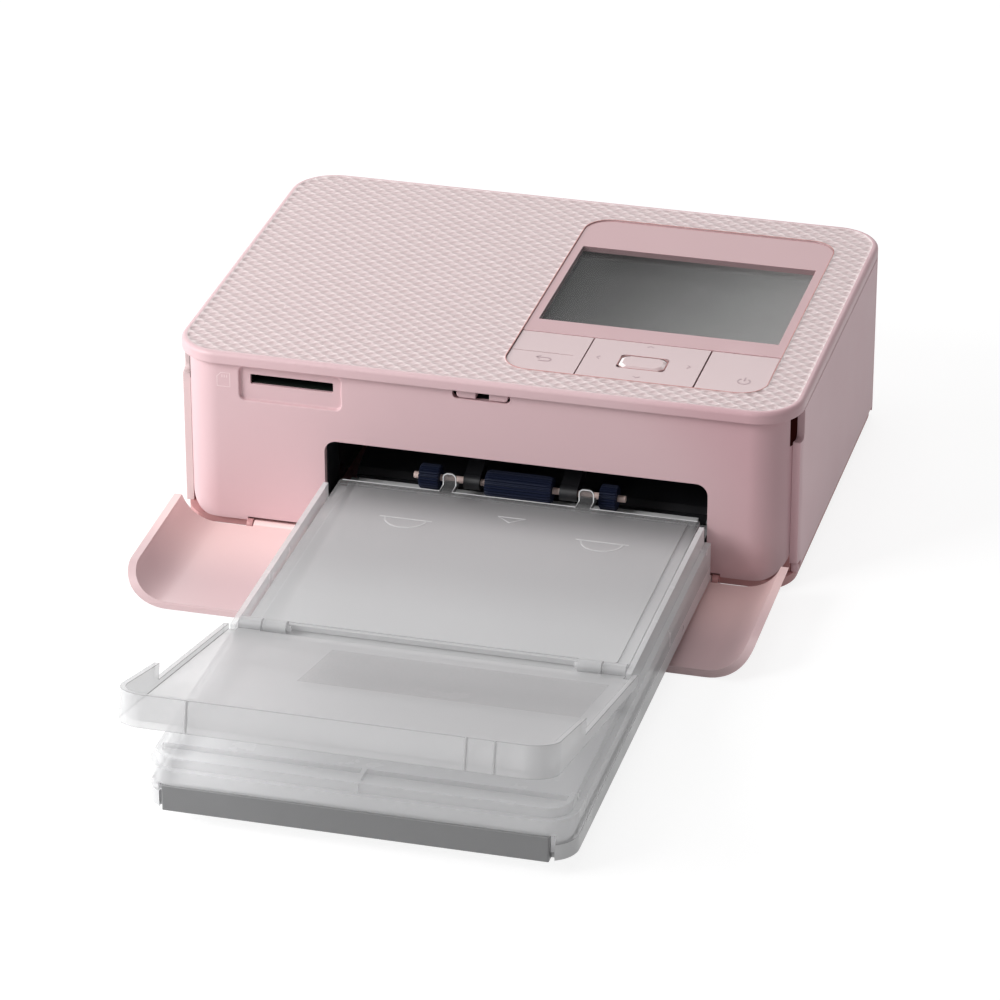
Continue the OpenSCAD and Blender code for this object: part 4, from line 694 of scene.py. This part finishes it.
def ok_button():
    """Middle button: a long octagon whose sides slope outwards to its foot, on the CAD's stem.
    Its sides that face the lamp take a near-white finish, a painted highlight.
    """
    bm = merged_copy("ok_button")
    cap_z = 55.7
    cap = [v for v in bm.verts if v.co.z > (cap_z - 0.1) * MM]
    bmesh.ops.delete(bm, geom=cap, context="VERTS")
    rings = []
    for inset, z, cut in ((0, cap_z, 1.7), (0, KEY_TOP - 0.25, 1.7), (0.12, KEY_TOP - 0.1, 1.7),
                          (1.0, KEY_TOP + 0.28, 1.5), (1.15, KEY_TOP + 0.3, 1.45)):
        plan = octagon(PAD_MID, 6.65 - inset, 4.0 - inset * 0.8, cut)
        rings.append([bm.verts.new((x * MM, y * MM, z * MM)) for x, y in plan])
    for low, high in zip(rings, rings[1:]):
        for k in range(8):
            bm.faces.new((low[k], low[(k + 1) % 8], high[(k + 1) % 8], high[k]))
    bm.faces.new(rings[-1])
    bm.faces.new(rings[0][::-1])
    bmesh.ops.recalc_face_normals(bm, faces=bm.faces)
    piece = finish_piece(to_object(bm, "ok_button_cap"), "key polish", 25)
    # Painted highlight: the sides facing the lamp take the near-white second finish.
    for face in piece.data.polygons:
        side = face.normal.x < -0.1 or (face.normal.x > 0.1 and face.normal.y > 0.02)
        if side and 0.3 < face.normal.z < 0.98:
            face.material_index = 1
    stands_for(piece, "ok_button")


# ---------------------------------------------------------------- front and sides


def at_slot(mid):
    return abs(mid.x - SLOT_MID[0]) < SLOT_REACH[0] and abs(mid.z - SLOT_MID[1]) < SLOT_REACH[1]


def at_scoop(mid):
    """On the edges of the finger hollow round the card slot."""
    return (SCOOP_X[0] < mid.x < SCOOP_X[1] and SCOOP_Z[0] < mid.z < SCOOP_Z[1]
            and mid.y < SCOOP_Y and not at_slot(mid))


def front_panel():
    """The front, with wide soft edges at the hollow, the card mark and the catch window's rim."""
    dressed("front_panel", "shell", 0.45, 3, [(0.58, 4, at_scoop), (0.15, 2, at_slot)])
    (x0, x1), (z0, z1) = CARD_X, CARD_Z
    card = [(x0, z0), (x1, z0), (x1, z1), (x0 + 1.2, z1), (x0, z1 - 1.2), (x0, z0)]
    contacts = [[(x0 + 1.5 + k * 0.7, z1 - 1.5), (x0 + 1.5 + k * 0.7, z1 - 0.6)]
                for k in range(3)]
    pill = (arc(CATCH_X[1] - CATCH_R, CATCH_Z, CATCH_R, -90, 90, 10)
            + arc(CATCH_X[0] + CATCH_R, CATCH_Z, CATCH_R, 90, 270, 10))
    flat_mark("catch_window_edge", [pill + pill[:1]], -FACE_Y - 0.5, "front_panel", 0.56, 0.42,
              "shell", on_front)
    flat_mark("card_mark", [card] + contacts, -FACE_Y - 0.03, "front_panel", 0.06, 0.3, "pale",
              on_front)


def slot_painted_shades():
    """Painted shade: near-black sheets in the finger slots beside the front panel, round the body's
    corners, standing for the shade inside the slots.
    """
    radius, front, step = CORNER_R - 2.25, -57.4, 0.6
    near, far, z0, z1 = 0.01, 0.14, 44.2, 55.2
    line = []
    for k in range(9):
        y = front + k * step
        drop = min(y + HALF_D - CORNER_R, 0)
        line.append((HALF_W - CORNER_R + math.sqrt(radius ** 2 - drop ** 2), y))
    for side, name in ((1, "right_slot_painted_shade"), (-1, "left_slot_painted_shade")):
        plan = [(side * (x + near), y) for x, y in line]
        plan += [(side * (x + far), y) for x, y in reversed(line)]
        belongs(finish_piece(prism(name, plan, z0, z1), "hollow"), "front_panel")


def corner_skirts():
    """Wall of the bottom case seen under the front's rounded lower corners, the closed front
    of the lug that holds the side door's pin, and the fill behind it.
    """
    inner, outer, z0, z1 = CORNER_R - 6.2, CORNER_R - 4.65, 4.2, 24
    cx, cy = HALF_W - CORNER_R, CORNER_R - HALF_D
    straight = cy + 3
    wall = arc(cx, cy, outer, -70, 0, 14) + [(cx + outer, straight), (cx + inner, straight)]
    wall += arc(cx, cy, inner, 0, -70, 14)
    for side, name in ((1, "right_skirt"), (-1, "left_skirt")):
        plan = [(side * x, y) for x, y in wall]
        belongs(finish_piece(prism(name, plan, z0, z1), "base"), "bottom_case")
    for name, finish, x, ahead, z in (
            ("pin_lug_face", "side", (88.95, 91.0), (56.1, 54.98), (4.1, 6.7)),
            ("corner_fill", "base", (86.2, 88.8), (56.0, 54.4), (4.1, 11.0))):
        belongs(finish_piece(block(name, x, ahead, z, level, 0.3), finish), "bottom_case")


# ---------------------------------------------------------------- rollers


def tread_tree():
    """A ribbed rubber tread: the rim of a wheel drawn as a wave and drawn out along X."""
    n, given = node_tree("ribbed_tread", [
        ("Radius", "NodeSocketFloat", 0.004), ("Length", "NodeSocketFloat", 0.01),
        ("Ribs", "NodeSocketInt", 24), ("Groove", "NodeSocketFloat", 0.0006),
        ("Material", "NodeSocketMaterial", None)])
    around = n.maths("MULTIPLY", given["Ribs"], 8.0)
    tube = n.add("GeometryNodeMeshCylinder", around, 24, 1, given["Radius"],
                 given["Length"]).outputs[0]
    at = n.apart(n.add("GeometryNodeInputPosition").outputs[0])
    turn = n.maths("ARCTAN2", at[1], at[0])
    wave = n.maths("SINE", n.maths("MULTIPLY", turn, given["Ribs"]))
    flat = n.add("ShaderNodeMapRange", wave, -0.35, 0.35, 0.0, 1.0,
                 interpolation_type="SMOOTHSTEP").outputs[0]
    rim = n.maths("DIVIDE", n.maths("ABSOLUTE", at[2]), n.maths("MULTIPLY", given["Length"], 0.5))
    worn = n.add("ShaderNodeMapRange", rim, 0.9, 1.0, 0.0, 0.6).outputs[0]
    sunk = n.maths("MULTIPLY", n.maths("MAXIMUM", n.maths("SUBTRACT", 1.0, flat), worn),
                   given["Groove"])
    scale = n.maths("SUBTRACT", 1.0, n.maths("DIVIDE", sunk, given["Radius"]))
    to = n.add("ShaderNodeCombineXYZ", at[2], n.maths("MULTIPLY", at[0], scale),
               n.maths("MULTIPLY", at[1], scale)).outputs[0]
    laid = n.add("GeometryNodeSetPosition", tube, named={"Position": to}).outputs[0]
    close_tree(n, laid, given["Material"])
    return n


def rollers():
    """Three ribbed treads on the pick-up shaft, where the CAD has them."""
    n = tread_tree()
    whole = bmesh.new()
    for x0, x1, r in TREADS:
        one = grown("tread", n, {"Radius": r * MM, "Length": (x1 - x0) * MM,
                                 "Material": MATERIALS["tread"]})
        one.data.transform(Matrix.Translation(Vector(((x0 + x1) / 2, *PICKUP)) * MM))
        whole.from_mesh(one.data)
        bpy.data.objects.remove(one)
    bmesh.ops.recalc_face_normals(whole, faces=whole.faces)
    stands_for(finish_piece(to_object(whole, "ribbed_rollers"), "tread", 30), "pickup_rollers")


# ---------------------------------------------------------------- paper cassette


def on_lid(x, s, h):
    """A point on the open outer lid: s back from its hinge, h above the hinge's plane."""
    a = math.radians(LID_SLOPE)
    return Vector((x, LID_HINGE[0] - s * math.cos(a) + h * math.sin(a),
                   LID_HINGE[1] + s * math.sin(a) + h * math.cos(a)))


def level(x, ahead, h):
    """A point ahead of the body's middle, h above the table."""
    return Vector((x, -ahead, h))


def block(name, x, s, h, at=on_lid, rounding=0.0):
    """A thin moulded rib or band, given by its ranges along three ways."""
    bm = bmesh.new()
    corners = [bm.verts.new(at(px, ps, ph) * MM) for ph in h for ps in s for px in x]
    bmesh.ops.convex_hull(bm, input=corners)
    bmesh.ops.dissolve_limit(bm, angle_limit=0.02, verts=bm.verts, edges=bm.edges)
    thickness = min(abs(v[1] - v[0]) for v in (x, s, h))
    soften(bm, rounding or thickness * 0.3, 2)
    bmesh.ops.recalc_face_normals(bm, faces=bm.faces)
    return to_object(bm, name)


def tray_base():
    """The grey foot of the cassette: light inside, with darker copies of its grey on the outer band
    and the front bar as painted shade.
    """
    piece = dressed("tray_base", "tray band bar", 0.3, 2)
    low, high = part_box("tray_base")
    skin = 0.4 * MM
    for face in piece.data.polygons:
        x, y = face.center.x, face.center.y
        outward = face.normal.z < 0.5 and face.normal.y < 0.1
        # Painted shade: the front bar's faces take the dark grey, the outward band's faces a darker
        # grey.
        if y < low[1] + BAR_DEPTH * MM and BAR_X[0] < x / MM < BAR_X[1]:
            face.material_index = 2
        elif x < low[0] + skin or x > high[0] - skin or (y < low[1] + BAND_DEPTH * MM and outward):
            face.material_index = 1


def outer_lid_details():
    """Ribs moulded on the outer lid's front wall, in the painted edge highlight of clear plastic,
    and a thin grey translucent band under it.
    """
    half = 0.3
    for k, x in enumerate((-26.6, 46.1, 53.5)):
        rib = block(f"lid_wall_rib{k + 1}", (x - half, x + half), (98.0, 98.5), (-2.2, 6.2))
        belongs(finish_piece(rib, "rim"), "outer_lid")
    band = block("lid_grey_band", (-13.5, 62.6), (11.5, 44.5), (-1.13, -1.03), rounding=0.03)
    belongs(finish_piece(band, "band_grey"), "outer_lid")


def inner_lid_embossing():
    """Two half rounds with a straight edge, and a triangle between them."""
    y, flatness = -84.6, 0.9
    strokes = []
    for x0, x1 in ((-23.7, -8.5), (33.2, 48.4)):
        mid, radius = (x0 + x1) / 2, (x1 - x0) / 2 - 1.6
        curve = [(mid + px, y + py * flatness) for px, py in arc(0, 0, radius, 180, 360, 24)]
        strokes += [[(x0, y), (x1, y)], curve]
    strokes.append([(8.6, -76.6), (12.6, -79.6), (16.6, -76.6), (8.6, -76.6)])
    flat_mark("lid_embossing", strokes, FIELD_TOP, "inner_lid", 0.14, 0.46, "emboss")


def inner_lid_edge():
    """The inner lid's rear edge as a raised line with a painted highlight, and the two tabs that
    stand up behind it, outlined by painted highlight lines.
    """
    foot, set_in, behind = 20.9, INNER_BACK + TAB_SETBACK, 0.4
    edge = [[(INNER_X[0], INNER_BACK)]]
    for k, (x0, x1) in enumerate(TABS):
        edge[-1] += [(x0, INNER_BACK), (x0, set_in)]
        edge.append([(x1, set_in), (x1, INNER_BACK)])
        outline = [(x0, foot)] + arc(x0 + TAB_R, TAB_TOP - TAB_R, TAB_R, 180, 90, 6)
        outline += arc(x1 - TAB_R, TAB_TOP - TAB_R, TAB_R, 90, 0, 6) + [(x1, foot)]
        tab = prism(f"lid_tab{k + 1}", outline, -0.5, 0.5)
        tab.data.transform(Matrix.Translation((0, (set_in + behind) * MM, 0))
                           @ Matrix.Rotation(math.pi / 2, 4, "X"))
        belongs(finish_piece(tab, "inner"), "inner_lid")
        flat_mark(f"lid_tab_painted_highlight{k + 1}", [outline], -set_in, "inner_lid", 0.12, 0.32,
                  "bead", on_front)
    edge[-1].append((INNER_X[1], INNER_BACK))
    flat_mark("lid_painted_highlight_edge", edge, INNER_TOP, "inner_lid", 0.12, 0.32, "bead")


def roof_lip():
    """The rear lip of the tray's roof, under the lids' hinges."""
    lip = block("roof_rear_lip", (-43.0, 64.8), (161.0, 149.8), (18.4, 19.0), level, 0.2)
    belongs(finish_piece(lip, "inner"), "tray_body")


# ---------------------------------------------------------------- floor and light


def in_view(n):
    """1 for a ray that shows something to the camera, straight, mirrored or seen through."""
    rays = n.add("ShaderNodeLightPath").outputs
    return n.maths("MAXIMUM", n.maths("MAXIMUM", rays["Is Camera Ray"], rays["Is Glossy Ray"]),
                   rays["Is Transmission Ray"])


def floor_and_light():
    """A white floor and sky that look brighter than they light, and four lamps."""
    floor_glow, sky_light, sky_seen = 0.84, 0.26, 1.0
    bm = bmesh.new()
    bmesh.ops.create_grid(bm, x_segments=1, y_segments=1, size=6)
    floor = to_object(bm, "floor")
    mat, n = new_material("white_floor")
    plain = n.add("ShaderNodeBsdfDiffuse", (0.8, 0.8, 0.8, 1)).outputs[0]
    shadow = n.add("ShaderNodeBsdfDiffuse", (0.25, 0.25, 0.25, 1)).outputs[0]
    lit = n.add("ShaderNodeEmission", (1, 1, 1, 1), floor_glow).outputs[0]
    both = n.add("ShaderNodeAddShader", shadow, lit).outputs[0]
    mixed = n.add("ShaderNodeMixShader", in_view(n), plain, both).outputs[0]
    n.add("ShaderNodeOutputMaterial", mixed)
    floor.data.materials.append(mat)

    world = bpy.data.worlds.new("studio")
    bpy.context.scene.world = world
    world.use_nodes = True
    world.node_tree.nodes.clear()
    n = Nodes(world.node_tree)
    strength = n.add("ShaderNodeMapRange", in_view(n), 0.0, 1.0, sky_light, sky_seen).outputs[0]
    n.add("ShaderNodeOutputWorld", n.add("ShaderNodeBackground", (1, 1, 1, 1), strength).outputs[0])

    soft_lamp("key", (-0.66, -0.62, 0.56), (0.45, 0.45), 7.0)
    soft_lamp("left", (-0.88, -0.16, 0.34), (0.5, 0.5), 3.9, gloss=False)
    soft_lamp("top", (-0.15, 0.1, 1.5), (1.0, 0.8), 3.4)
    soft_lamp("back", (-0.3, 1.30, 0.95), (1.6, 0.35), 5.0)


# ---------------------------------------------------------------- the build


SLOT_FINISH = {
    "dark_plastic": "black", "circuit_board": "board", "dome_film": "film",
    "socket_steel": "socket", "sheet_steel": "steel", "shaft_steel": "bright",
    "screw_steel": "screws", "spring_steel": "bright", "foot_rubber": "foot",
    "tread_rubber": "tread", "roller_rubber": "rubber", "gear_plastic": "gear",
    "pinion_brass": "brass", "motor_steel": "can", "sink_aluminium": "sink",
    "head_ceramic": "ceramic", "ink_plastic": "ink", "ribbon_film": "ribbon",
    "spool_plastic": "spool", "lever_plastic": "lever", "shell_plastic": "shell",
    "base_plastic": "base", "pane_plastic": "pane", "key_plastic": "key",
    "screen_glass": "glass", "screen_dark": "screen", "tray_grey": "tray",
    "clear_plastic": "clear",
}


# finish, width and steps of the rounded edges, nodes
CASE = (("side", 0.5, 3, "left_side_panel ink_door"), ("side", 0.4, 2, "rear_housing"),
        ("door", 0.7, 3, "front_door"), ("base", 0.3, 2, "bottom_case"),
        ("shell", 0.25, 2, "left_catch right_catch"), ("pane", 0.3, 3, "display_frame"),
        ("glass", 0.15, 2, "display_window"),
        ("key", 0.22, 3, "menu_back_key direction_pad power_key"))
CASSETTE = (("clear rim", 0.2, 2, "tray_body"), ("inner rim", 0.2, 2, "inner_lid"),
            ("lid line", 0.2, 2, "outer_lid"))
PAPER_PATH = (("plate", 0.2, 2, "lift_plate"), ("black", 0.2, 2, "pickup_arm"),
              ("cream", 0.15, 2, "pickup_shaft"))
UNDERSIDE = (("screws", 0.15, 2, "case_screws"), ("foot", 0.3, 2, "rubber_feet"))


def dress_all(rows):
    for finish, edge, segments, nodes in rows:
        for node in nodes.split():
            dressed(node, finish, edge, segments)


def carried_over():
    """CAD nodes that keep their shape get the finish of their slot."""
    for node, obj in NODES.items():
        if node not in DRESSED:
            obj.data.materials.clear()
            obj.data.materials.append(MATERIALS[SLOT_FINISH[SLOT_OF[node]]])


place_camera()
MATERIALS = build_materials()
floor_and_light()

top_cover()
front_panel()
slot_painted_shades()
corner_skirts()
dress_all(CASE)
ok_button()
key_marks()
display_seams()
tray_base()
dress_all(CASSETTE)
roof_lip()
outer_lid_details()
inner_lid_embossing()
inner_lid_edge()
dress_all(PAPER_PATH)
rollers()
dress_all(UNDERSIDE)
carried_over()
